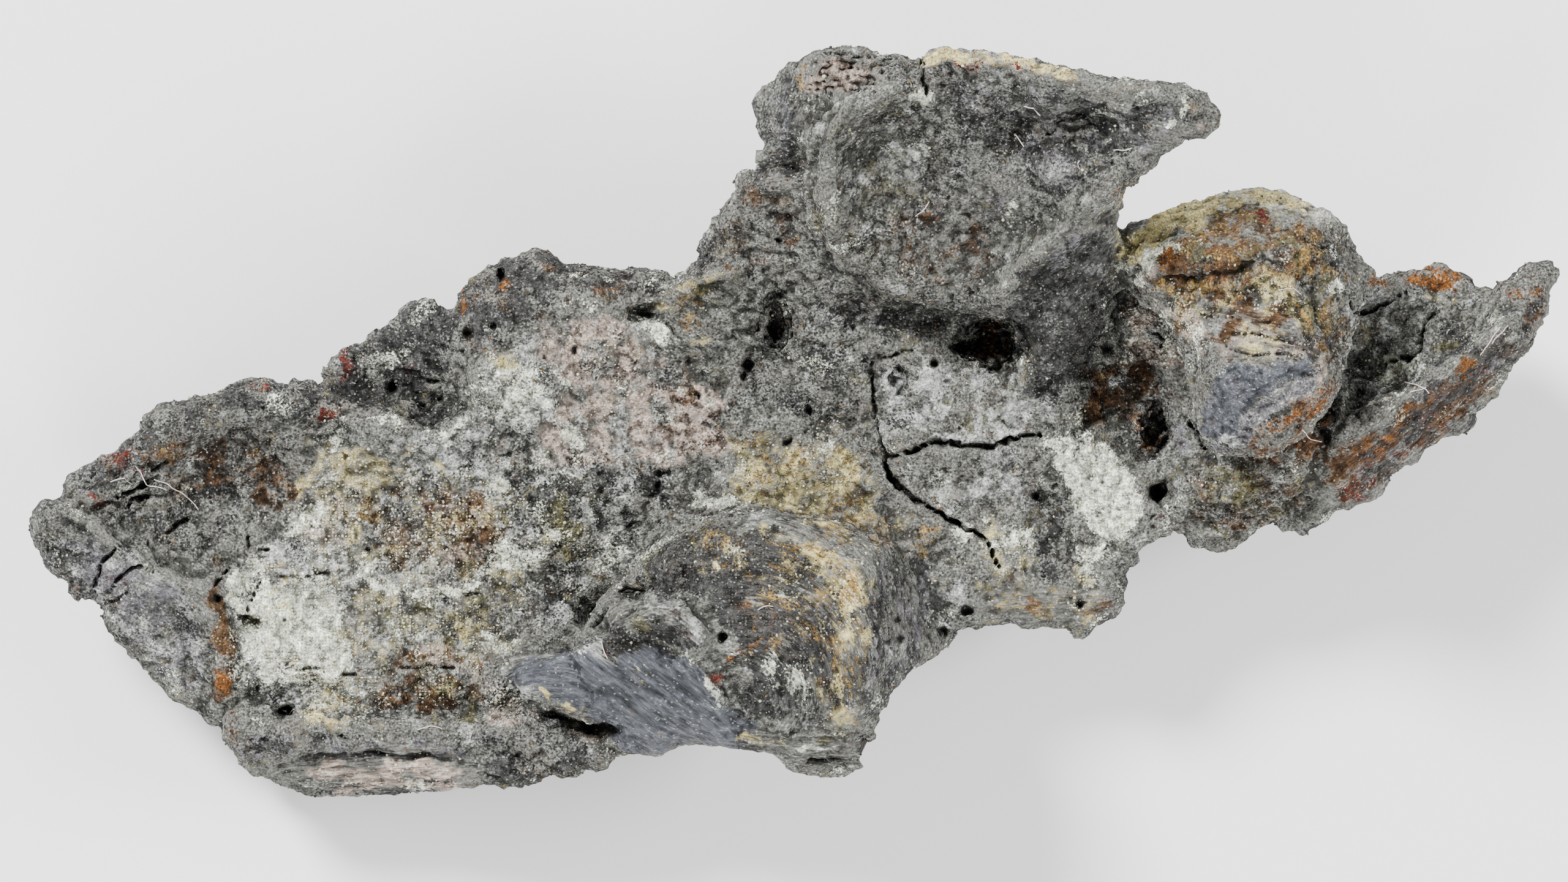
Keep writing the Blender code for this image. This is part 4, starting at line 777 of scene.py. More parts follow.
    ({"ochre": 0.28}, [(5.4, 2.7), (6.2, 3.4), (7.5, 3.8), (8.9, 3.3), (9.1, 2.5), (8.3, 2.2), (7.0, 2.6),
     (6.0, 2.5)]),
    ({"cream": 0.5}, [(5.3, 2.5), (5.5, 3.2), (6.3, 3.5), (7.6, 3.75), (7.0, 3.4), (6.2, 3.0), (5.9, 2.6)]),
    ({"dark": 0.7}, [(-2.6, -2.2), (-1.5, -1.7), (-0.2, -1.7), (0.6, -2.4), (0.4, -3.6), (0.3, -4.8), (-0.6, -4.9),
     (-0.9, -3.9), (-1.4, -3.0)]),
    ({"olive": 0.6}, [(-2.6, -2.2), (-1.5, -1.7), (-0.2, -1.7), (0.4, -2.4), (-0.4, -2.8), (-1.4, -3.0)]),
    ({"cream": 0.3}, [(-1.2, -1.7), (0.2, -1.7), (1.2, -2.2), (1.4, -3.5), (1.1, -4.9), (0.2, -4.9), (0.0, -3.6),
     (-0.7, -2.7)]),
    ({"ochre": 0.3}, [(-0.9, -1.8), (0.4, -1.8), (1.3, -2.4), (1.4, -3.6), (1.0, -4.9), (0.4, -4.9), (0.0, -3.9),
     (-0.9, -3.9), (-0.9, -3.0)]),
    ({"cream": 0.28}, [(-7.8, -0.6), (-6.0, -0.5), (-4.5, -1.0), (-4.2, -3.0), (-5.5, -4.6), (-7.8, -4.6),
     (-8.8, -3.8), (-8.4, -2.2)]),
    ({"brown": 0.4}, [(-7.3, -1.0), (-5.2, -0.9), (-4.4, -1.9), (-5.4, -2.6), (-6.8, -2.4)]),
    ({"brown": 0.4}, [(-6.6, -3.6), (-5.0, -3.7), (-4.8, -4.6), (-6.6, -4.8)]),
    ({"dark": 0.8}, [(3.3, 1.7), (3.6, 1.2), (3.8, 0.5), (4.4, 0.4), (5.1, 1.3), (5.2, 2.2), (4.5, 2.5),
     (3.8, 2.4)]),
    ({"violet": 0.4}, [(2.2, 5.75), (4.2, 5.45), (6.4, 5.2), (6.5, 4.8), (5.8, 4.4), (5.0, 3.8), (4.0, 3.6)]),
    ({"dark": 0.44}, [(2.2, 5.75), (4.2, 5.45), (6.4, 5.2), (6.5, 4.8), (5.8, 4.4), (5.0, 3.8), (4.0, 3.6),
     (3.2, 4.2), (2.6, 4.8)]),
    ({"lead": 0.95}, [(-3.75, -3.72), (-3.2, -3.78), (-2.6, -3.75), (-1.75, -3.72), (-1.45, -4.1), (-1.25, -4.4),
     (-0.8, -4.75), (-0.45, -4.95), (-0.9, -5.25), (-2.1, -5.4), (-2.9, -5.35), (-2.95, -4.95), (-3.4, -4.75),
     (-3.6, -4.3)]),
    ({"lead": 0.9}, [(6.55, 0.15), (6.75, 0.45), (6.95, 0.95), (7.3, 0.95), (7.7, 0.85), (7.85, 1.05), (8.35, 1.1),
     (8.45, 0.8), (7.9, 0.55), (7.4, 0.3), (7.1, -0.1), (6.8, -0.3), (6.6, -0.1)]),
    ({"lead": 0.9}, [(-3.79, -3.67), (-4.05, -3.79), (-4.41, -3.86), (-4.6, -3.97), (-4.66, -4.13), (-4.61, -4.28),
     (-4.48, -4.36), (-4.3, -4.31), (-4.1, -4.45), (-3.6, -4.62), (-3.3, -4.5), (-3.4, -3.9)]),
    ({"dark": 0.66}, [(-3.15, -3.4), (-2.8, -3.08), (-2.3, -2.98), (-1.8, -3.12), (-1.48, -3.6), (-1.9, -3.8),
     (-3.1, -3.75)]),
    ({"olive": 0.4}, [(-2.9, -3.2), (-2.4, -3.0), (-1.8, -3.2), (-1.6, -3.6), (-2.6, -3.7), (-3.2, -3.7)]),
    ({"white": 0.34, "pink": 0.8}, [(-7.9, -5.6), (-6.5, -5.5), (-5.3, -5.6), (-5.5, -6.0), (-7.5, -6.1)]),
    ({"dark": 0.8}, [(-5.0, -5.55), (-4.0, -5.4), (-3.3, -5.3), (-3.3, -5.7), (-4.9, -5.95)]),
    ({"brown": 0.24, "pink": 0.66}, [(0.2, 5.4), (0.5, 5.95), (1.3, 6.0), (1.7, 5.7), (0.9, 5.35)]),
    ({"brown": 0.35}, [(6.2, 2.8), (7.2, 2.4), (8.1, 2.5), (8.0, 2.0), (6.4, 2.1)]),
    ({"cream": 0.45}, [(7.3, 1.9), (8.2, 2.0), (7.7, 2.5)]),
    ({"dark": 0.6}, [(-12.2, -1.2), (-11.0, -0.3), (-10.3, 0.4), (-8.9, 0.9), (-7.6, 0.8), (-7.2, 1.5), (-6.1, 2.2),
     (-5.3, 2.4), (-4.1, 3.0), (-2.0, 2.7), (-2.0, 2.1), (-4.2, 2.2), (-5.5, 1.5), (-6.5, 1.2), (-7.0, 0.4),
     (-9.0, 0.1), (-10.5, -0.6), (-11.5, -1.3)]),
    ({"dark": 0.46}, [(-2.0, 2.5), (-1.0, 3.8), (-0.5, 4.4), (-0.7, 5.3), (0.0, 6.0), (0.3, 5.6), (0.2, 4.0),
     (-0.8, 3.0), (-1.6, 2.3)]),
    ({"cream": 0.6, "pale": 0.5}, [(5.2, 2.6), (5.6, 3.4), (6.5, 3.8), (7.7, 4.0), (8.6, 3.7), (8.9, 3.3),
     (8.2, 3.3), (7.3, 3.5), (6.4, 3.2), (5.9, 2.8)]),
    ({"pale": 0.3}, [(-2.6, -1.9), (0.0, -1.6), (1.6, -2.0), (2.4, -2.4), (2.2, -3.6), (1.3, -5.0), (0.6, -5.6),
     (-0.6, -5.3), (-0.8, -4.6), (-1.4, -3.4)]),
    ({"cream": 0.3}, [(3.0, -2.4), (4.0, -2.5), (5.4, -2.6), (5.2, -3.3), (3.0, -3.3)]),
    ({"dark": 0.42}, [(-12.4, -1.6), (-11.6, -2.0), (-11.3, -2.9), (-10.2, -4.3), (-9.4, -4.7), (-9.6, -5.2),
     (-11.5, -3.6), (-12.6, -2.4)]),
]
SPOTS = {
    "brown": [
        (0.8, -0.8, -3.15, 0.25, 0.3, 0), (0.8, 0.62, -4.2, 0.13, 0.35, 0), (0.5, -6.45, -1.95, 0.35, 0.4, 0),
        (0.5, -6.2, -4.3, 0.4, 0.2, 0), (0.35, -7.15, -3.2, 0.15, 0.25, 0), (0.6, -8.6, -0.9, 0.7, 0.5, -20),
        (0.55, -9.6, -0.7, 1.0, 0.6, 0), (0.5, -10.2, -0.5, 0.5, 0.35, 0), (0.6, -5.7, -1.7, 0.55, 0.45, 0),
        (0.5, -6.6, -1.6, 0.3, 0.3, 0), (0.45, -5.9, -4.3, 0.6, 0.4, 0), (0.8, 0.75, -4.25, 0.12, 0.2, 0),
        (0.6, 2.28, 3.3, 0.28, 0.06, 0), (0.6, 7.3, 3.3, 0.25, 0.18, 0), (0.5, -7.9, -4.65, 0.25, 0.1, 0),
        (0.7, 3.2, 1.3, 0.35, 0.28, 0), (0.6, 5.8, -0.1, 0.3, 0.35, 0),
    ],
    "dark": [
        (0.6, -0.8, -3.15, 0.2, 0.25, 0), (0.5, -5.65, -1.15, 0.3, 0.15, 0), (0.6, -6.85, -1.87, 0.12, 0.12, 0),
        (0.6, -7.05, -2.8, 0.2, 0.16, 0), (0.4, -4.6, -2.9, 0.5, 0.2, 0), (0.45, -5.7, -3.25, 0.4, 0.28, 0),
        (0.4, -6.3, -3.75, 0.3, 0.12, 0), (0.5, -8.6, -4.45, 0.35, 0.15, -20), (0.5, -5.4, -3.3, 0.6, 0.3, 0),
        (0.7, 5.58, 2.16, 0.18, 0.13, 0), (0.5, 2.2, 3.1, 0.35, 0.12, 0), (0.5, 8.7, 2.8, 0.3, 0.4, 0),
        (0.15, 9.4, 0.5, 0.4, 0.3, 30), (0.4, -11.9, -1.7, 0.5, 0.3, 0), (0.35, -7.9, -5.2, 0.9, 0.3, 0),
        (0.5, -0.3, 1.64, 0.3, 0.5, 0), (0.45, -0.6, 0.9, 0.4, 0.3, 0), (0.4, 0.3, 0.4, 0.6, 0.6, 0),
    ],
    "olive": [
        (0.6, -0.3, -3.2, 0.18, 0.16, 0), (0.5, -4.35, -0.8, 0.1, 0.15, 0), (0.6, -1.5, 2.1, 0.3, 0.25, 0),
        (0.5, 0.7, -5.05, 0.4, 0.15, 0), (0.35, 5.0, -1.7, 0.4, 0.4, 0), (0.6, 0.46, 3.3, 0.14, 0.12, 0),
        (0.6, 8.4, 1.8, 0.25, 0.35, 0),
    ],
    "cream": [
        (0.7, -1.25, -2.35, 0.1, 0.08, 0), (0.5, -7.1, -0.55, 0.22, 0.12, 0), (0.45, -6.3, -0.45, 0.15, 0.12, 0),
        (0.6, -5.75, -0.7, 0.1, 0.2, 10), (0.7, -7.15, -1.75, 0.16, 0.16, 0), (0.4, -4.7, -3.6, 0.35, 0.16, 0),
        (0.5, -7.6, -4.2, 0.25, 0.12, 0), (0.45, -7.5, -4.6, 0.25, 0.12, 0), (0.5, -8.3, -2.75, 0.3, 0.25, 0),
        (0.5, -8.6, -2.35, 0.2, 0.15, 0), (0.45, -7.4, -3.4, 0.25, 0.3, 0), (0.5, -4.0, -1.9, 0.2, 0.2, 0),
        (0.5, -6.9, -0.8, 0.6, 0.4, 0), (0.45, -4.7, 1.0, 0.45, 0.25, 0), (0.85, -5.41, -3.44, 0.16, 0.13, 0),
        (0.5, -2.11, 1.88, 0.25, 0.12, 0), (0.5, -1.56, 1.41, 0.2, 0.12, 40), (0.5, -0.5, -1.1, 0.5, 0.2, 0),
        (0.45, 1.75, -1.75, 0.25, 0.25, 0), (0.6, 4.7, -2.55, 0.2, 0.15, 0), (0.5, 4.3, -2.85, 0.3, 0.12, 0),
        (0.5, 4.9, -1.2, 0.3, 0.25, 0), (0.6, 5.09, 0.73, 0.1, 0.08, 0), (0.6, 5.7, 3.1, 0.35, 0.15, 20),
        (0.5, 6.9, 3.5, 0.5, 0.15, 15), (0.5, 10.6, 2.1, 0.35, 0.1, 0),
    ],
    "ochre": [
        (0.5, -1.3, -1.85, 0.2, 0.1, 0), (0.55, -5.28, -1.45, 0.12, 0.1, 0), (0.5, -6.9, -1.62, 0.14, 0.07, 0),
        (0.35, -4.5, -3.9, 0.18, 0.1, 0), (0.34, -10.3, -0.4, 0.35, 0.25, 0), (0.42, -1.65, 1.8, 0.25, 0.4, 0),
        (0.45, 0.17, 5.61, 0.12, 0.14, 0), (0.4, 6.45, 5.15, 0.2, 0.15, 0), (0.5, 8.3, 2.9, 0.2, 0.2, 0),
        (0.4, 7.2, 2.75, 0.6, 0.15, 0),
    ],
    "white": [
        (0.8, -1.3, 0.35, 0.06, 0.05, 0), (0.8, -1.1, 0.25, 0.05, 0.04, 0), (0.7, -0.95, 0.18, 0.05, 0.05, 0),
        (0.7, -1.0, 0.0, 0.06, 0.04, 0), (0.8, -1.6, 0.1, 0.05, 0.06, 0), (0.8, -1.75, 0.45, 0.06, 0.05, 0),
        (0.7, -1.45, 0.55, 0.05, 0.04, 0), (0.7, -0.6, 0.3, 0.05, 0.04, 0), (0.5, -7.5, -0.9, 0.4, 0.05, 8),
        (0.7, -4.75, -1.03, 0.3, 0.08, -5), (0.75, -8.1, -1.6, 0.28, 0.2, 35), (0.8, -7.8, -1.76, 0.1, 0.08, 0),
        (0.9, -6.95, -2.15, 0.07, 0.08, 0), (0.7, -6.9, -2.45, 0.2, 0.1, 15), (0.65, -6.55, -2.75, 0.26, 0.14, 0),
        (0.6, -5.3, -2.7, 0.4, 0.12, 12), (0.75, -4.5, -2.2, 0.22, 0.2, 0), (0.5, -4.75, -3.55, 0.35, 0.14, 0),
        (0.6, -7.7, -2.8, 0.4, 0.35, 0), (0.42, -6.3, -3.4, 0.35, 0.4, 0), (0.45, -7.2, -3.8, 0.4, 0.3, 0),
        (0.5, -3.9, -1.6, 0.3, 0.5, 10), (0.5, -3.6, -0.2, 0.2, 0.3, 0), (0.42, -7.7, -4.4, 0.7, 0.3, 0),
        (0.45, -7.9, -1.6, 0.5, 0.5, 40), (0.55, -4.6, 0.45, 0.7, 0.55, 0), (0.6, -3.5, 1.97, 0.5, 0.13, 0),
        (0.55, -3.0, -2.1, 0.3, 0.35, 0), (0.55, -4.5, -2.2, 0.6, 0.3, 15), (0.4, -6.3, -2.3, 0.8, 0.4, 0),
        (0.35, -4.4, -4.6, 0.6, 0.3, 0), (0.7, -2.15, 1.45, 0.3, 0.16, -40), (0.7, -1.22, -1.26, 0.55, 0.13, -5),
        (0.5, -0.1, -4.1, 0.5, 0.35, 0), (0.6, 0.4, -5.28, 0.4, 0.08, 0), (0.6, 2.8, -1.8, 0.2, 0.15, 0),
        (0.85, 2.12, 5.27, 0.16, 0.2, 0), (0.3, 2.0, 4.1, 0.4, 0.3, 20), (0.5, 3.6, 3.35, 0.14, 0.1, 0),
        (0.6, 6.1, 4.85, 0.14, 0.08, 0), (0.6, 8.8, 2.2, 0.22, 0.08, 0), (0.4, -8.7, -4.85, 0.4, 0.08, 0),
    ],
    "red": [
        (0.31, -4.35, -0.4, 0.12, 0.1, 0), (0.27, -7.72, -1.3, 0.2, 0.08, 0), (0.39, -6.25, -2.05, 0.04, 0.1, 0),
        (0.62, -7.26, 0.95, 0.2, 0.3, 0), (0.39, -6.34, 0.9, 0.12, 0.12, 0), (0.55, -7.58, 0.1, 0.3, 0.14, 30),
        (0.55, -11.0, -0.6, 0.35, 0.2, 20), (0.47, -11.25, -1.25, 0.2, 0.15, 0),
        (0.39, -10.72, -0.85, 0.2, 0.12, 0), (0.35, -8.7, 0.62, 0.35, 0.1, 0), (0.31, -11.75, -2.7, 0.15, 0.2, 0),
        (0.27, -3.95, 0.8, 0.4, 0.2, 0), (0.2, -5.6, -3.7, 0.4, 0.15, 0), (0.55, -1.28, -4.22, 0.14, 0.22, -30),
        (0.27, 3.05, -1.4, 0.25, 0.12, 0), (0.47, 6.05, -1.52, 0.15, 0.08, 0), (0.39, 1.01, 4.22, 0.08, 0.05, 0),
        (0.9, 7.65, 3.4, 0.14, 0.09, 0), (0.47, 9.3, -1.1, 0.45, 0.2, 25), (0.23, -3.6, -5.15, 0.3, 0.08, 0),
    ],
    "pale": [
        (0.5, -2.5, 0.55, 0.6, 0.12, 5), (0.5, -5.7, -3.2, 0.4, 0.3, 0), (0.6, -4.75, -4.5, 0.35, 0.3, 0),
        (0.5, -3.5, -1.3, 0.4, 0.5, 0), (0.6, 1.9, 4.2, 0.5, 0.4, 20), (0.5, 4.3, 4.1, 0.3, 0.15, 0),
        (0.5, 5.4, 4.25, 0.3, 0.12, 30), (0.4, 5.9, 1.6, 0.5, 0.35, 0), (0.4, 6.9, 1.5, 0.5, 0.25, 0),
        (0.6, 9.08, 0.45, 0.08, 0.08, 0), (0.35, -7.0, -5.15, 0.9, 0.2, 0), (0.35, 0.6, 1.1, 0.5, 0.3, 0),
    ],
    "violet": [
        (0.5, -5.65, -1.15, 0.35, 0.18, 0), (0.4, 3.3, 3.6, 0.8, 0.4, 30), (0.5, 4.6, 2.6, 0.6, 0.4, 40),
    ],
    "pink": [
        (0.5, -5.3, -1.65, 0.4, 0.2, 0), (0.5, -4.75, -4.45, 0.35, 0.3, 0), (0.5, -0.1, 4.2, 0.4, 0.2, 0),
        (0.5, 6.6, 4.75, 0.15, 0.12, 0), (0.45, 7.6, 1.4, 0.7, 0.25, -10), (0.5, -3.4, -5.1, 0.5, 0.2, 0),
    ],
    "rust": [
        (0.68, -9.29, -4.12, 0.16, 0.22, 0), (0.72, -5.37, 2.0, 0.06, 0.14, -15),
        (0.76, -4.72, 2.25, 0.12, 0.16, 20), (0.36, -4.85, 1.08, 0.12, 0.08, 0),
        (0.28, -5.23, -3.87, 0.35, 0.18, -20), (0.4, -0.25, -3.3, 0.14, 0.3, 0),
        (0.56, 1.1, -5.15, 0.08, 0.06, 0), (0.48, 2.35, -1.3, 0.14, 0.1, 0), (0.44, 2.33, 2.38, 0.25, 0.06, 10),
        (0.4, 0.0, 3.95, 0.3, 0.1, 0), (0.48, 5.27, 3.62, 0.08, 0.14, 0), (0.64, 6.07, 2.68, 0.22, 0.12, 0),
        (0.64, 9.6, 2.28, 0.2, 0.08, 0), (0.68, 10.5, 2.35, 0.45, 0.13, 0), (0.48, 11.9, 2.2, 0.4, 0.12, 0),
        (0.48, 8.55, -0.55, 0.1, 0.15, 0), (0.28, 7.6, -0.9, 0.4, 0.3, 0), (0.4, 10.9, 0.3, 0.35, 0.2, 40),
    ],
    "lead": [
        (0.35, -0.1, 4.9, 0.3, 0.4, 0),
    ],
}
STROKES = [
    ("white", 0.65, 0.08, [(-7.05, -2.5), (-6.6, -2.75), (-6.0, -2.85), (-5.5, -2.7), (-5.0, -2.65)]),
    ("ochre", 0.5, 0.07, [(7.1, 2.3), (7.7, 2.5), (8.05, 2.3), (8.3, 1.8), (8.4, 1.5)]),
    ("rust", 0.5, 0.12, [(10.9, 0.9), (10.5, 0.55), (10.1, 0.2), (9.8, -0.1), (9.3, -0.35)]),
    ("brown", 0.7, 0.2, [(10.9, 0.8), (10.3, 0.3), (9.7, -0.3), (9.2, -0.8)]),
    ("cream", 0.4, 0.12, [(-7.55, -0.3), (-7.75, -0.75), (-8.1, -1.1)]),
    ("pink", 0.5, 0.14, [(-5.95, -3.65), (-5.5, -3.8), (-5.0, -3.95)]),
    ("rust", 0.3, 0.12, [(-5.95, -3.65), (-5.5, -3.8), (-5.0, -3.95)]),
    ("rust", 0.2, 0.14, [(-9.45, -3.2), (-9.5, -3.6), (-9.4, -3.9)]),
    ("ochre", 0.2, 0.2, [(-9.3, -2.9), (-9.15, -3.6), (-9.2, -4.3)]),
    ("brown", 0.75, 0.15, [(-9.39, -2.83), (-9.28, -3.3), (-9.2, -3.8), (-9.27, -4.33)]),
    ("white", 0.5, 0.07, [(-6.95, 0.10), (-6.4, -0.05), (-5.83, -0.2), (-5.5, -0.08), (-5.24, 0.14)]),
    ("white", 0.4, 0.1, [(-5.2, 0.2), (-5.1, 0.7), (-4.9, 1.1)]),
    ("white", 0.5, 0.1, [(-4.2, 1.1), (-3.9, 0.95), (-3.6, 0.65)]),
    ("white", 0.4, 0.1, [(-12.0, -1.38), (-11.6, -1.52), (-11.3, -1.8)]),
    ("pale", 0.4, 0.05, [(-3.19, -3.36), (-3.07, -3.10), (-2.81, -2.95), (-2.45, -2.90), (-2.09, -2.94),
                        (-1.84, -3.03), (-1.63, -3.26), (-1.50, -3.46)]),
    ("red", 0.4, 0.05, [(-1.9, -3.1), (-1.7, -3.25), (-1.6, -3.45)]),
    ("white", 0.5, 0.07, [(-1.73, -3.74), (-1.48, -4.05), (-1.32, -4.36), (-1.07, -4.54)]),
    ("cream", 0.6, 0.07, [(-4.1, -4.3), (-3.8, -4.5), (-3.5, -4.65)]),
    ("cream", 0.42, 0.13, [(-0.5, -1.75), (0.2, -1.9), (0.8, -2.2), (1.2, -2.6)]),
    ("ochre", 0.38, 0.14, [(0.3, -1.8), (0.9, -2.3), (1.15, -3.0), (1.1, -3.8)]),
    ("cream", 0.44, 0.1, [(0.7, -2.5), (0.85, -3.2), (0.7, -3.9), (0.6, -4.7)]),
    ("cream", 0.5, 0.07, [(-0.9, -5.1), (-0.5, -5.2), (-0.2, -5.3)]),
    ("rust", 0.45, 0.08, [(-0.5, -3.5), (-0.75, -3.65), (-1.0, -3.75)]),
    ("pale", 0.42, 0.07, [(2.28, 5.51), (1.80, 5.53), (1.17, 5.32), (0.59, 5.06), (0.40, 4.51),
                         (0.27, 3.88), (0.33, 3.56), (0.36, 3.25)]),
    ("pale", 0.16, 0.07, [(5.24, 3.75), (4.99, 3.46), (4.51, 3.19), (4.12, 2.90), (3.87, 2.65),
                         (3.53, 2.46), (3.39, 2.16)]),
    ("cream", 0.7, 0.14, [(2.2, 5.95), (3.0, 5.93), (3.8, 5.8), (4.6, 5.62)]),
    ("pink", 0.7, 0.15, [(2.2, 5.95), (3.0, 5.93), (3.8, 5.8), (4.6, 5.62)]),
    ("red", 0.5, 0.06, [(2.6, 5.82), (3.4, 5.78), (4.2, 5.6)]),
    ("cream", 0.45, 0.1, [(-1.96, 2.19), (-1.56, 2.33), (-1.09, 2.46)]),
    ("white", 0.6, 0.1, [(5.3, 2.45), (5.58, 2.7), (6.26, 2.94)]),
    ("brown", 0.6, 0.22, [(6.0, 2.35), (6.8, 2.45), (7.6, 2.4), (8.2, 2.3)]),
    ("rust", 0.5, 0.12, [(8.7, 0.6), (8.3, 0.2), (7.9, -0.05), (7.5, -0.3)]),
    ("rust", 0.44, 0.08, [(11.1, 0.95), (10.7, 0.6), (10.4, 0.3), (10.1, 0.05), (9.7, -0.3), (9.2, -0.5)]),
    ("rust", 0.36, 0.1, [(11.2, 0.5), (10.8, 0.1), (10.4, -0.3), (9.8, -0.8)]),
    ("white", 0.5, 0.06, [(6.3, 5.3), (6.25, 5.05), (6.2, 4.8)]),
    ("pink", 0.5, 0.1, [(8.2, 1.6), (8.5, 1.2), (8.6, 0.8), (8.5, 0.5), (8.1, 0.3)]),
    ("brown", 0.5, 0.12, [(3.2, -2.95), (4.2, -3.05), (5.2, -2.95)]),
    ("rust", 0.35, 0.08, [(3.2, -2.8), (4.2, -2.9), (5.2, -2.8)]),
    ("white", 0.35, 0.16, [(-3.2, -2.4), (-2.6, -2.2), (-2.0, -1.9)]),
    ("ochre", 0.4, 0.2, [(8.5, 1.0), (8.65, 1.6), (8.8, 2.3)]),
]

warped = bent(points[:, :2], 0.5, 0.16, 60)
warped = warped + 0.05 * np.column_stack([noise(points, 0.15, 70), noise(points, 0.15, 71)])
amounts = {kind: np.zeros(len(points)) for kind in KINDS}


def stain(kind, chosen, amount):
    amounts[kind][chosen] = np.maximum(amounts[kind][chosen], amount)


layers = itertools.count(100, 3)
for shares, outline in FIELDS:
    chosen = close_to(warped, outline, 0.5)
    away, _ = near_line(warped[chosen], outline + outline[:1])
    away = np.where(inside(warped[chosen], outline), away, -away)
    for kind, amount in shares.items():
        edge = 0.1 if kind in ("lead", "pale") else 0.22
        patchy = 0.3 if kind == "lead" else 1.0
        patchy = 1 + patchy * (rough(points[chosen], 0.42, next(layers), 3) + 0.1)
        stain(kind, chosen, amount * np.clip(patchy, 0, 1.6) * soft_step(-edge, edge, away))
for kind, spots in SPOTS.items():
    for amount, x, y, half_x, half_y, turn in spots:
        chosen = close_to(warped, [(x, y)], max(half_x, half_y) * 2)
        patchy = 1 + 0.5 * rough(points[chosen], 0.3, 90, 2)
        stain(kind, chosen, amount * patchy * ellipse(warped[chosen], x, y, half_x, half_y, turn, 0.6))
for kind, amount, half_width, line in STROKES:
    chosen = close_to(warped, line, half_width * 2)
    away, _ = near_line(warped[chosen], line)
    patchy = 1 + 0.6 * rough(points[chosen], 0.35, 93, 3)
    stain(kind, chosen, amount * patchy * (1 - soft_step(0.4 * half_width, 1.6 * half_width, away)))
print("fields:", len(FIELDS), "spots:", sum(map(len, SPOTS.values())), "strokes:", len(STROKES))

# %% [markdown]
# ## Sides, underside and hollows
# What was drawn from above would smear down the sides, so it fades where the skin faces sideways or down,
# and plain noise patches take over there. Steep flanks get painted shade as extra dark stain, apart from the
# pale knob. Comparing each point with the mean of its neighbours tells hollows from crests, and the material
# paints shade into the hollows and a paler highlight onto the crests.

# %% Sides, underside and hollows
upward = soft_step(-0.1, 0.35, facing[:, 2])
for number, (kind, most) in enumerate((
    ("white", 0.5), ("cream", 0.4), ("ochre", 0.36), ("rust", 0.28), ("red", 0.3), ("brown", 0.45),
    ("olive", 0.45), ("pink", 0.4), ("lead", 0.25), ("pale", 0.6), ("dark", 0.65), ("violet", 0.45),
)):
    patch = most * soft_step(0.05, 0.75, rough(points, 1.6, 80 + number, 3))
    fleck = 0.8 * most * soft_step(-0.1, 0.8, rough(points, 0.7, 95 + number, 4)) * (kind != "lead")
    amounts[kind] = np.maximum(amounts[kind] * upward + patch * (1 - upward), fleck)

# Painted shade: steep flanks get extra dark stain because of the way they face, and the pale knob gets much less.
PALE_KNOB = (7.2, 2.9, 2.2, 1.3)
FLANK_SHADE = 0.44
flank_shade = 1 - soft_step(0.3, 0.85, facing[:, 2])
flank_shade *= 1 - 0.9 * ellipse(points[:, :2], *PALE_KNOB)
amounts["dark"] = np.maximum(amounts["dark"], FLANK_SHADE * flank_shade * (1 + rough(points, 0.9, 140, 3)))

ends = np.empty(len(mesh.edges) * 2, int)
mesh.edges.foreach_get("vertices", ends)
ends = ends.reshape(-1, 2)
ends = np.concatenate([ends, ends[:, ::-1]])
counts = np.maximum(np.bincount(ends[:, 0], minlength=len(points)), 1)


def spread(values, times):
    """Each value becomes the mean of itself and its neighbours, several times over."""
    for _ in range(times):
        near = np.bincount(ends[:, 0], weights=values[ends[:, 1]], minlength=len(points)) / counts
        values = 0.5 * values + 0.5 * near
    return values


def hollow(times, scale):
    smooth = np.column_stack([spread(points[:, i].copy(), times) for i in range(3)])
    return np.clip(np.einsum("ij,ij->i", smooth - points, facing) / scale, -1, 1)


# Hollows and crests, for painted shade in the hollows and a painted highlight on the crests.
fine = hollow(3, 0.012)
broad = hollow(30, 0.06)
relief_shading = 0.55 * fine + 0.75 * broad
for kind in KINDS:
    store(mesh, kind, amounts[kind])
squeezed, strength, _ = flows(points, bent(points[:, :2], 0.7, 0.18))
store(mesh, "flow", strength * upward)
store(mesh, "relief_shading", relief_shading)
flow_places = mesh.attributes.new("flow_place", "FLOAT_VECTOR", "POINT")
flow_places.data.foreach_set("vector", squeezed.astype(np.float32).ravel())
print({kind: round(float(amounts[kind].mean()), 3) for kind in KINDS})

# %% [markdown]
# ## Shader groups
# The skin and the grains need the same two effects, so each is a node group. `grain fields` makes
# salt-and-pepper noise at three sizes from Object coordinates in mm. `stain over` lays one stain on the
# colour below it: noise decides where its specks lie, and the amount decides how many there are.

# %% Shader groups
def colour(red, green, blue):
    """A colour given as 0 to 255 values, as the linear values that Blender mixes."""
    return (*[((v / 255 + 0.055) / 1.055) ** 2.4 if v > 10 else v / 3294 for v in (red, green, blue)], 1)


def add_node(tree, kind, **settings):
    """Adds a node; a setting that is one of its inputs becomes that input's value."""
    made = tree.nodes.new("ShaderNode" + kind)
    for key, value in settings.items():
        if hasattr(made, key):
            setattr(made, key, value)
        else:
            made.inputs[key.replace("_", " ")].default_value = value
    return made


def feed(tree, sockets, values):
    """Links each socket to another socket, or gives it a value."""
    for socket, value in zip(sockets, values):
        if isinstance(value, bpy.types.NodeSocket):
            tree.links.new(value, socket)
        else:
            socket.default_value = value


def calculate(tree, operation, *values):
    """A Math node whose inputs are numbers or sockets."""
    made = add_node(tree, "Math", operation=operation)
    feed(tree, made.inputs, values)
    return made.outputs[0]


def blend(tree, share, below, above):
    """A Mix node for colours whose inputs are values or sockets."""
    made = add_node(tree, "Mix", data_type="RGBA")
    feed(tree, (made.inputs["Factor"], made.inputs[6], made.inputs[7]), (share, below, above))
    return made.outputs[2]


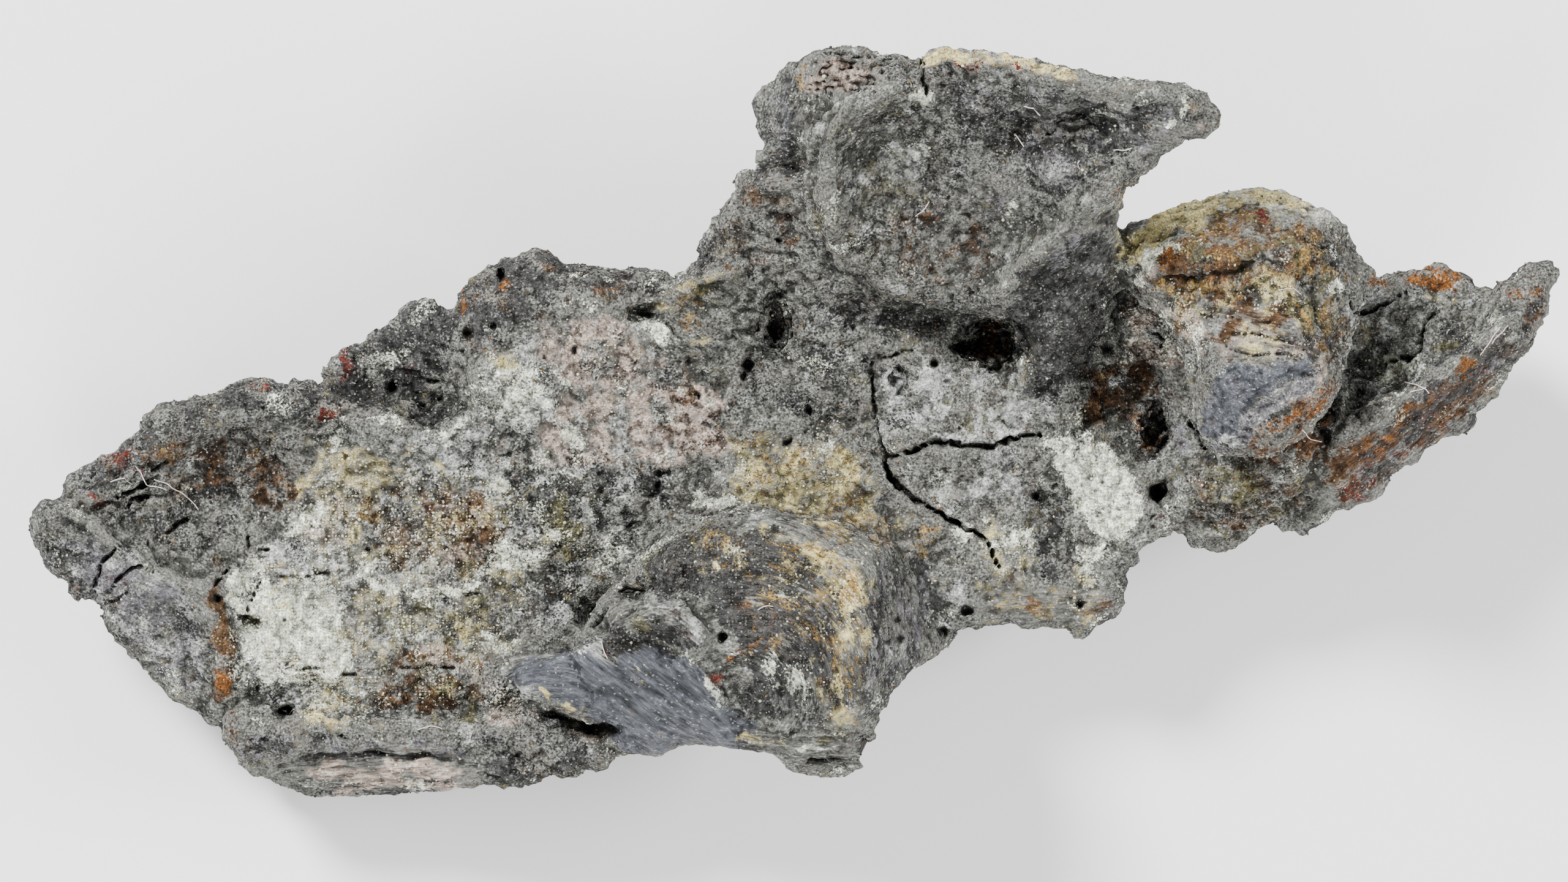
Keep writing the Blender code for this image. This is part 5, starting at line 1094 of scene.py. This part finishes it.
def new_group(name, inputs, outputs):
    tree = bpy.data.node_groups.new(name, "ShaderNodeTree")
    for label, kind in inputs:
        tree.interface.new_socket(label, in_out="INPUT", socket_type="NodeSocket" + kind)
    for label, kind in outputs:
        tree.interface.new_socket(label, in_out="OUTPUT", socket_type="NodeSocket" + kind)
    return tree, tree.nodes.new("NodeGroupInput").outputs, tree.nodes.new("NodeGroupOutput").inputs


GRAIN_SIZES = {"Fine": (0.04, 2.0, 0.6, 0.2), "Middle": (0.13, 4.0, 0.65, 0.17), "Broad": (0.5, 6.0, 0.72, 0.15)}
grain_group, grain_in, grain_out = new_group(
    "grain fields",
    [("Vector", "Vector")],
    [(f"{size} {number}", "Float") for size in GRAIN_SIZES for number in (1, 2, 3)] + [("Sparkle", "Float")],
)
in_mm = add_node(grain_group, "Mapping", Scale=(1 / MM,) * 3)
grain_group.links.new(grain_in["Vector"], in_mm.inputs["Vector"])
for size, (width, detail, roughness, reach) in GRAIN_SIZES.items():
    texture = add_node(grain_group, "TexNoise", Scale=1 / width, Detail=detail, Roughness=roughness)
    grain_group.links.new(in_mm.outputs[0], texture.inputs["Vector"])
    split = add_node(grain_group, "SeparateColor")
    grain_group.links.new(texture.outputs["Color"], split.inputs[0])
    for number in (1, 2, 3):
        spread_out = add_node(grain_group, "MapRange", From_Min=0.5 - reach, From_Max=0.5 + reach)
        grain_group.links.new(split.outputs[number - 1], spread_out.inputs["Value"])
        grain_group.links.new(spread_out.outputs[0], grain_out[f"{size} {number}"])
SPARKLE_WIDTH = 0.03
cells = add_node(grain_group, "TexVoronoi", Scale=1 / SPARKLE_WIDTH)
grain_group.links.new(in_mm.outputs[0], cells.inputs["Vector"])
split = add_node(grain_group, "SeparateColor")
grain_group.links.new(cells.outputs["Color"], split.inputs[0])
bright = add_node(grain_group, "MapRange", From_Min=0.96, From_Max=0.98)
grain_group.links.new(split.outputs[0], bright.inputs["Value"])
grain_group.links.new(bright.outputs[0], grain_out["Sparkle"])

stain_group, stain_in, stain_out = new_group(
    "stain over",
    [("Below", "Color"), ("Pale tone", "Color"), ("Deep tone", "Color"), ("Amount", "Float"),
     ("Speck", "Float"), ("Tone", "Float"), ("Softness", "Float")],
    [("Color", "Color"), ("Cover", "Float")],
)
low = calculate(stain_group, "MULTIPLY", stain_in["Softness"], -1.0)
room = calculate(stain_group, "MULTIPLY_ADD", stain_in["Softness"], 2.0, 1.0)
reach = calculate(stain_group, "MULTIPLY_ADD", stain_in["Amount"], room, low)
gap = calculate(stain_group, "SUBTRACT", reach, stain_in["Speck"])
cover = add_node(stain_group, "MapRange", interpolation_type="SMOOTHSTEP")
stain_group.links.new(gap, cover.inputs["Value"])
stain_group.links.new(low, cover.inputs["From Min"])
stain_group.links.new(stain_in["Softness"], cover.inputs["From Max"])
tone = blend(stain_group, stain_in["Tone"], stain_in["Deep tone"], stain_in["Pale tone"])
stain_group.links.new(blend(stain_group, cover.outputs[0], stain_in["Below"], tone), stain_out["Color"])
stain_group.links.new(cover.outputs[0], stain_out["Cover"])
print("node groups:", [tree.name for tree in bpy.data.node_groups])

# %% [markdown]
# ## The weathered skin's material
# Grey oxide lies lowest, and the stains follow one over the other, the white bloom last. Painted shade
# darkens hollows and a painted highlight makes crests paler, from the attribute that compares each point
# with its neighbours; cracks, pits and pores get painted shade too. Bare lead is smoother and a little
# metallic, and everything else is dull. One bump from the same grain keeps highlights and colour specks together.

# %% The weathered skin's material
material = bpy.data.materials.new("weathered_lead")
material.use_nodes = True
tree = material.node_tree
shader = tree.nodes["Principled BSDF"]
place = add_node(tree, "TexCoord")
grain = add_node(tree, "Group", node_tree=grain_group)
tree.links.new(place.outputs["Object"], grain.inputs["Vector"])


def amount_of(kind):
    return add_node(tree, "Attribute", attribute_name=kind).outputs["Fac"]


def mixed(first, second, share):
    """Two values mixed into one; a share of 1 is all the first."""
    return calculate(tree, "ADD", calculate(tree, "MULTIPLY", first, share),
                     calculate(tree, "MULTIPLY", second, 1 - share if isinstance(share, float)
                               else calculate(tree, "SUBTRACT", 1.0, share)))


flow_vector = add_node(tree, "Attribute", attribute_name="flow_place")
flow_share = calculate(tree, "MULTIPLY", amount_of("flow"), 0.8)
FIBRE_WIDTHS = {"Fine": 0.035, "Middle": 0.07, "Broad": 0.2}
fields = {}
for size, width in FIBRE_WIDTHS.items():
    fibres = add_node(tree, "TexNoise", Scale=1 / width, Detail=3.0, Roughness=0.6)
    tree.links.new(flow_vector.outputs["Vector"], fibres.inputs["Vector"])
    channels = add_node(tree, "SeparateColor")
    tree.links.new(fibres.outputs["Color"], channels.inputs[0])
    for number in (1, 2, 3):
        stretched = add_node(tree, "MapRange", From_Min=0.32, From_Max=0.68)
        tree.links.new(channels.outputs[number - 1], stretched.inputs["Value"])
        fields[f"{size} {number}"] = mixed(stretched.outputs[0], grain.outputs[f"{size} {number}"], flow_share)

base = blend(tree, mixed(mixed(fields["Middle 1"], fields["Broad 2"], 0.55), fields["Fine 1"], 0.6),
             colour(17, 18, 17), colour(126, 127, 122))
base = blend(tree, calculate(tree, "MULTIPLY", fields["Broad 1"], 0.45), base, colour(78, 75, 68))

LAYERS = [
    ("pale", (184, 187, 183), (88, 90, 87), "Broad 1", "Fine 2", 0.5, 0.2),
    ("violet", (112, 110, 113), (58, 57, 60), "Broad 2", "Fine 3", 0.45, 0.22),
    ("pink", (176, 161, 149), (88, 78, 71), "Broad 3", "Fine 1", 0.45, 0.2),
    ("brown", (98, 73, 50), (32, 23, 17), "Broad 2", "Middle 1", 0.5, 0.22),
    ("olive", (108, 105, 74), (44, 43, 31), "Broad 3", "Middle 2", 0.5, 0.22),
    ("dark", (74, 74, 73), (18, 18, 18), "Broad 1", "Fine 1", 0.45, 0.2),
    ("lead", (98, 101, 107), (35, 37, 41), "Broad 3", "Fine 3", 0.5, 0.4),
    ("cream", (222, 208, 146), (126, 115, 80), "Middle 3", "Fine 1", 0.4, 0.13),
    ("ochre", (160, 131, 76), (80, 66, 42), "Middle 1", "Fine 2", 0.4, 0.14),
    ("rust", (126, 78, 32), (66, 42, 25), "Middle 2", "Fine 3", 0.4, 0.15),
    ("red", (100, 46, 37), (50, 25, 21), "Middle 3", "Fine 2", 0.4, 0.13),
    ("white", (232, 236, 218), (140, 145, 134), "Broad 2", "Fine 3", 0.45, 0.11),
]
covers = {}
for kind, pale_tone, deep_tone, wide, tight, share, softness in LAYERS:
    over = add_node(tree, "Group", node_tree=stain_group)
    over.inputs["Pale tone"].default_value = colour(*pale_tone)
    over.inputs["Deep tone"].default_value = colour(*deep_tone)
    over.inputs["Softness"].default_value = softness
    tree.links.new(base, over.inputs["Below"])
    tree.links.new(amount_of(kind), over.inputs["Amount"])
    tree.links.new(mixed(fields[wide], fields[tight], share), over.inputs["Speck"])
    tree.links.new(fields["Middle " + tight[-1]], over.inputs["Tone"])
    base = over.outputs["Color"]
    covers[kind] = over.outputs["Cover"]

FINE_SPECKLE, WIDE_SPECKLE, LEAD_TONE = (1.3, 0.35), (0.5, 0.75), 0.9
HOLLOWS_DARKER, DARKEST, PALEST = 0.75, 0.35, 1.25
CREVICE_SHADE, CAVITY_SHADE, PORE_SHADE, GLINT = 0.8, 0.3, 0.6, 0.3

fine_speckle = calculate(tree, "MULTIPLY_ADD", fields["Fine 1"], *FINE_SPECKLE)
wide_speckle = calculate(tree, "MULTIPLY_ADD", fields["Middle 3"], *WIDE_SPECKLE)
speckle = calculate(tree, "MULTIPLY", fine_speckle, wide_speckle)
speckle = mixed(LEAD_TONE, speckle, calculate(tree, "MULTIPLY", covers["lead"], 0.5))
# Painted shade and painted highlight: the colour is darker in hollows and paler on crests.
crest_light_hollow_shade = calculate(tree, "MULTIPLY_ADD", amount_of("relief_shading"), -HOLLOWS_DARKER, 1.0)
crest_light_hollow_shade = calculate(tree, "MINIMUM", calculate(tree, "MAXIMUM", crest_light_hollow_shade, DARKEST), PALEST)
tone = calculate(tree, "MULTIPLY", speckle, crest_light_hollow_shade)
toned = add_node(tree, "VectorMath", operation="SCALE")
tree.links.new(base, toned.inputs[0])
tree.links.new(tone, toned.inputs["Scale"])
# Painted shade: cracks, pits and small pores are blended towards near-black.
pore = add_node(tree, "MapRange", From_Min=0.78, From_Max=0.95)
tree.links.new(mixed(fields["Fine 2"], fields["Middle 2"], 0.6), pore.inputs["Value"])
hole_shade = calculate(tree, "MAXIMUM", calculate(tree, "MULTIPLY", amount_of("crevice"), CREVICE_SHADE),
                 calculate(tree, "MULTIPLY", amount_of("cavity"), CAVITY_SHADE))
hole_shade = calculate(tree, "MAXIMUM", hole_shade, calculate(tree, "MULTIPLY", pore.outputs[0], PORE_SHADE))
hole_shaded = blend(tree, hole_shade, toned.outputs[0], colour(14, 11, 9))
glint = calculate(tree, "MULTIPLY", grain.outputs["Sparkle"], GLINT)
tree.links.new(blend(tree, glint, hole_shaded, colour(215, 215, 210)), shader.inputs["Base Color"])

DULLNESS, SMOOTHER_LEAD, SMOOTHER_GLINT, METAL_SHARE = 0.82, 0.3, 0.35, 0.25
BUMP_DEPTH = 0.05 * MM

dull = calculate(tree, "MULTIPLY_ADD", covers["lead"], -SMOOTHER_LEAD, DULLNESS)
dull = calculate(tree, "MULTIPLY_ADD", grain.outputs["Sparkle"], -SMOOTHER_GLINT, dull)
tree.links.new(dull, shader.inputs["Roughness"])
tree.links.new(calculate(tree, "MULTIPLY", covers["lead"], METAL_SHARE), shader.inputs["Metallic"])
height = mixed(fields["Fine 1"], fields["Middle 1"], 0.45)
shader.inputs["Specular IOR Level"].default_value = 0.12
bump = add_node(tree, "Bump", Strength=1.0, Distance=BUMP_DEPTH)
tree.links.new(height, bump.inputs["Height"])
tree.links.new(bump.outputs[0], shader.inputs["Normal"])
print("nodes in the skin's material:", len(tree.nodes))

# %% [markdown]
# ## Finish the skin
# The mesh goes back to metres and takes the material, and it stands for the CAD solid, which stays in the
# physics model.

# %% Finish the skin
mesh.transform(Matrix.Scale(MM, 4))
mesh.materials.clear()
mesh.materials.append(material)
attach(skin, "root")
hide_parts("native_lead")

# %% [markdown]
# ## Loose grains
# Close up, the crust is a crumble of grains a few hundredths of a millimetre wide. Each grain is an
# icosphere of 20 faces, squashed and turned by chance, and pressed into the skin. White and cream grains
# lie where the bloom lies, dark grit where the skin is dark, rusty grains on the stains. Each row has a
# name, the kinds that it follows, a count, the radii in mm and two tones. The grains are made in batches,
# because an operator gets slower as its mesh grows.

# %% Loose grains
GRAINS = [
    ("bloom_grains", {"white": 1.0, "cream": 0.9, "pale": 0.3, "pink": 0.2}, 6000, 0.01, 0.028,
     (214, 214, 194), (130, 122, 92)),
    ("dark_grit", {"dark": 1.0, "brown": 0.5, "olive": 0.5, "violet": 0.3}, 6500, 0.01, 0.032,
     (96, 94, 88), (20, 19, 17)),
    ("rusty_grains", {"rust": 1.0, "ochre": 0.8, "red": 0.8, "brown": 0.2}, 1500, 0.01, 0.024,
     (112, 82, 50), (54, 34, 25)),
]
BATCH = 100
chance = np.random.default_rng(29)


def new_piece(name, body, look):
    """An object from a bmesh in mm, at the origin, that rides on the lump."""
    piece_mesh = bpy.data.meshes.new(name)
    body.to_mesh(piece_mesh)
    body.free()
    piece_mesh.transform(Matrix.Scale(MM, 4))
    piece_mesh.materials.append(look)
    piece = bpy.data.objects.new(name, piece_mesh)
    scene.collection.objects.link(piece)
    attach(piece, "root")
    return piece


def grain_look(name, pale_tone, deep_tone):
    """A dull grain: its tone comes from its own attribute and from the shared fine noise."""
    look = bpy.data.materials.new(name)
    look.use_nodes = True
    nodes = look.node_tree
    principled = nodes.nodes["Principled BSDF"]
    where = add_node(nodes, "TexCoord")
    shared = add_node(nodes, "Group", node_tree=grain_group)
    nodes.links.new(where.outputs["Object"], shared.inputs["Vector"])
    own = add_node(nodes, "Attribute", attribute_name="tone").outputs["Fac"]
    share = calculate(nodes, "MULTIPLY_ADD", shared.outputs["Fine 1"], 0.4, calculate(nodes, "MULTIPLY", own, 0.6))
    nodes.links.new(blend(nodes, share, colour(*deep_tone), colour(*pale_tone)), principled.inputs["Base Color"])
    dullness = calculate(nodes, "MULTIPLY_ADD", shared.outputs["Fine 2"], 0.3, 0.55)
    nodes.links.new(dullness, principled.inputs["Roughness"])
    principled.inputs["Specular IOR Level"].default_value = 0.2
    return look


for name, kinds, count, smallest, largest, pale_tone, deep_tone in GRAINS:
    weight = sum(share * amounts[kind] for kind, share in kinds.items()) ** 4
    weight *= np.clip(facing[:, 2] + 0.15, 0, 1) * np.clip(1 - 1.2 * amounts["lead"], 0, 1)
    picked = chance.choice(len(points), size=count, replace=False, p=weight / weight.sum())
    body = bmesh.new()
    for first in range(0, count, BATCH):
        batch = bmesh.new()
        for number in picked[first:first + BATCH]:
            radius = smallest + (largest - smallest) * chance.random() ** 2
            place = Vector(points[number] + facing[number] * radius * 0.25)
            turn = Euler(chance.uniform(0, 6.28, 3)).to_matrix().to_4x4()
            squash = Matrix.Diagonal((*chance.uniform(0.6, 1.35, 3), 1))
            bmesh.ops.create_icosphere(batch, subdivisions=1, radius=radius,
                                       matrix=Matrix.Translation(place) @ turn @ squash)
        batch_mesh = bpy.data.meshes.new("batch")
        batch.to_mesh(batch_mesh)
        batch.free()
        body.from_mesh(batch_mesh)
        bpy.data.meshes.remove(batch_mesh)
    piece = new_piece(name, body, grain_look(name + "_look", pale_tone, deep_tone))
    points_each = len(piece.data.vertices) // count
    store(piece.data, "tone", np.repeat(chance.random(count), points_each))
    print(name, len(piece.data.polygons), "triangles")

# %% [markdown]
# ## Dust fibres
# A few hairs of dust lie on the crust in the photo. Each starts as a ring of five edges, and the ring is
# extruded step by step along the hair's course, a little above the highest skin near it.

# %% Dust fibres
FIBRE_RADIUS = 0.008
FIBRE_STEP = 0.06
FIBRES = [
    [(8.28, -0.1), (8.42, -0.25), (8.62, -0.3)], [(10.0, 0.66), (10.16, 0.62), (10.37, 0.48)],
    [(10.05, 0.5), (10.3, 0.56)], [(11.2, 1.1), (11.35, 1.32), (11.52, 1.56)], [(11.38, 1.3), (11.66, 1.6)],
    [(2.01, 3.35), (2.12, 3.44), (2.22, 3.6)], [(-3.1, -3.55), (-3.08, -3.7), (-3.0, -3.82)],
    [(-0.55, -3.05), (-0.45, -2.95), (-0.3, -2.98)], [(-10.4, -0.9), (-10.25, -0.98), (-9.9, -1.17), (-9.7, -1.42)],
    [(-10.7, -0.7), (-10.5, -1.02), (-10.2, -1.1)], [(4.67, 4.25), (4.6, 4.18), (4.65, 4.08)],
    [(3.75, 5.12), (3.9, 5.08), (4.02, 4.98)], [(3.65, 4.65), (3.7, 4.58), (3.75, 4.48)],
    [(5.2, 4.42), (5.38, 4.4), (5.5, 4.46)], [(-8.3, -4.0), (-8.15, -3.9), (-8.05, -3.95)],
    [(-6.1, -5.0), (-5.9, -4.92), (-5.7, -4.98)], [(7.9, 2.15), (8.1, 2.2), (8.25, 2.1)],
    [(-11.1, -0.95), (-10.9, -0.9), (-10.75, -0.98)],
]
top = np.flatnonzero(facing[:, 2] > 0.1)
nearby = kdtree.KDTree(len(top))
for number in top:
    nearby.insert((*points[number, :2], 0), int(number))
nearby.balance()


def height_at(x, y):
    """The height of the highest skin close to a place."""
    return max(points[number, 2] for _, number, _ in nearby.find_n((x, y, 0), 6))


fibres_body = bmesh.new()
for line in FIBRES:
    corners = np.array(line, float)
    length = np.concatenate([[0], np.cumsum(np.linalg.norm(np.diff(corners, axis=0), axis=1))])
    stops = np.linspace(0, length[-1], max(4, int(length[-1] / FIBRE_STEP)))
    course = np.stack([np.interp(stops, length, corners[:, i]) for i in (0, 1)], axis=1)
    course = bent(course, 0.25, 0.03)
    course = [Vector((x, y, height_at(x, y) + 0.012)) for x, y in course]
    aim = (course[1] - course[0]).to_track_quat("Z", "Y").to_matrix().to_4x4()
    ring = bmesh.ops.create_circle(fibres_body, segments=5, radius=FIBRE_RADIUS,
                                   matrix=Matrix.Translation(course[0]) @ aim)["verts"]
    edges = list(dict.fromkeys(edge for vert in ring for edge in vert.link_edges))
    for start, end in zip(course, course[1:]):
        made = bmesh.ops.extrude_edge_only(fibres_body, edges=edges)["geom"]
        ring = [item for item in made if isinstance(item, bmesh.types.BMVert)]
        edges = [item for item in made if isinstance(item, bmesh.types.BMEdge) and set(item.verts) <= set(ring)]
        bmesh.ops.translate(fibres_body, vec=end - start, verts=ring)
fibre_piece = new_piece("dust_fibres", fibres_body, grain_look("dust_fibre_look", (236, 228, 222), (176, 150, 150)))
store(fibre_piece.data, "tone", chance.random(len(fibre_piece.data.vertices)))
print("dust fibres:", len(FIBRES))

# %% [markdown]
# ## Table
# A plain pale table, large enough that its edge never shows.

# %% Table
table_body = bmesh.new()
bmesh.ops.create_grid(table_body, x_segments=1, y_segments=1, size=0.6)
table_mesh = bpy.data.meshes.new("table")
table_body.to_mesh(table_mesh)
table_body.free()
table = bpy.data.objects.new("table", table_mesh)
scene.collection.objects.link(table)
white_table = bpy.data.materials.new("white_table")
white_table.use_nodes = True
white_table.node_tree.nodes["Principled BSDF"].inputs["Base Color"].default_value = (0.92, 0.92, 0.92, 1)
white_table.node_tree.nodes["Principled BSDF"].inputs["Roughness"].default_value = 0.9
table_mesh.materials.append(white_table)
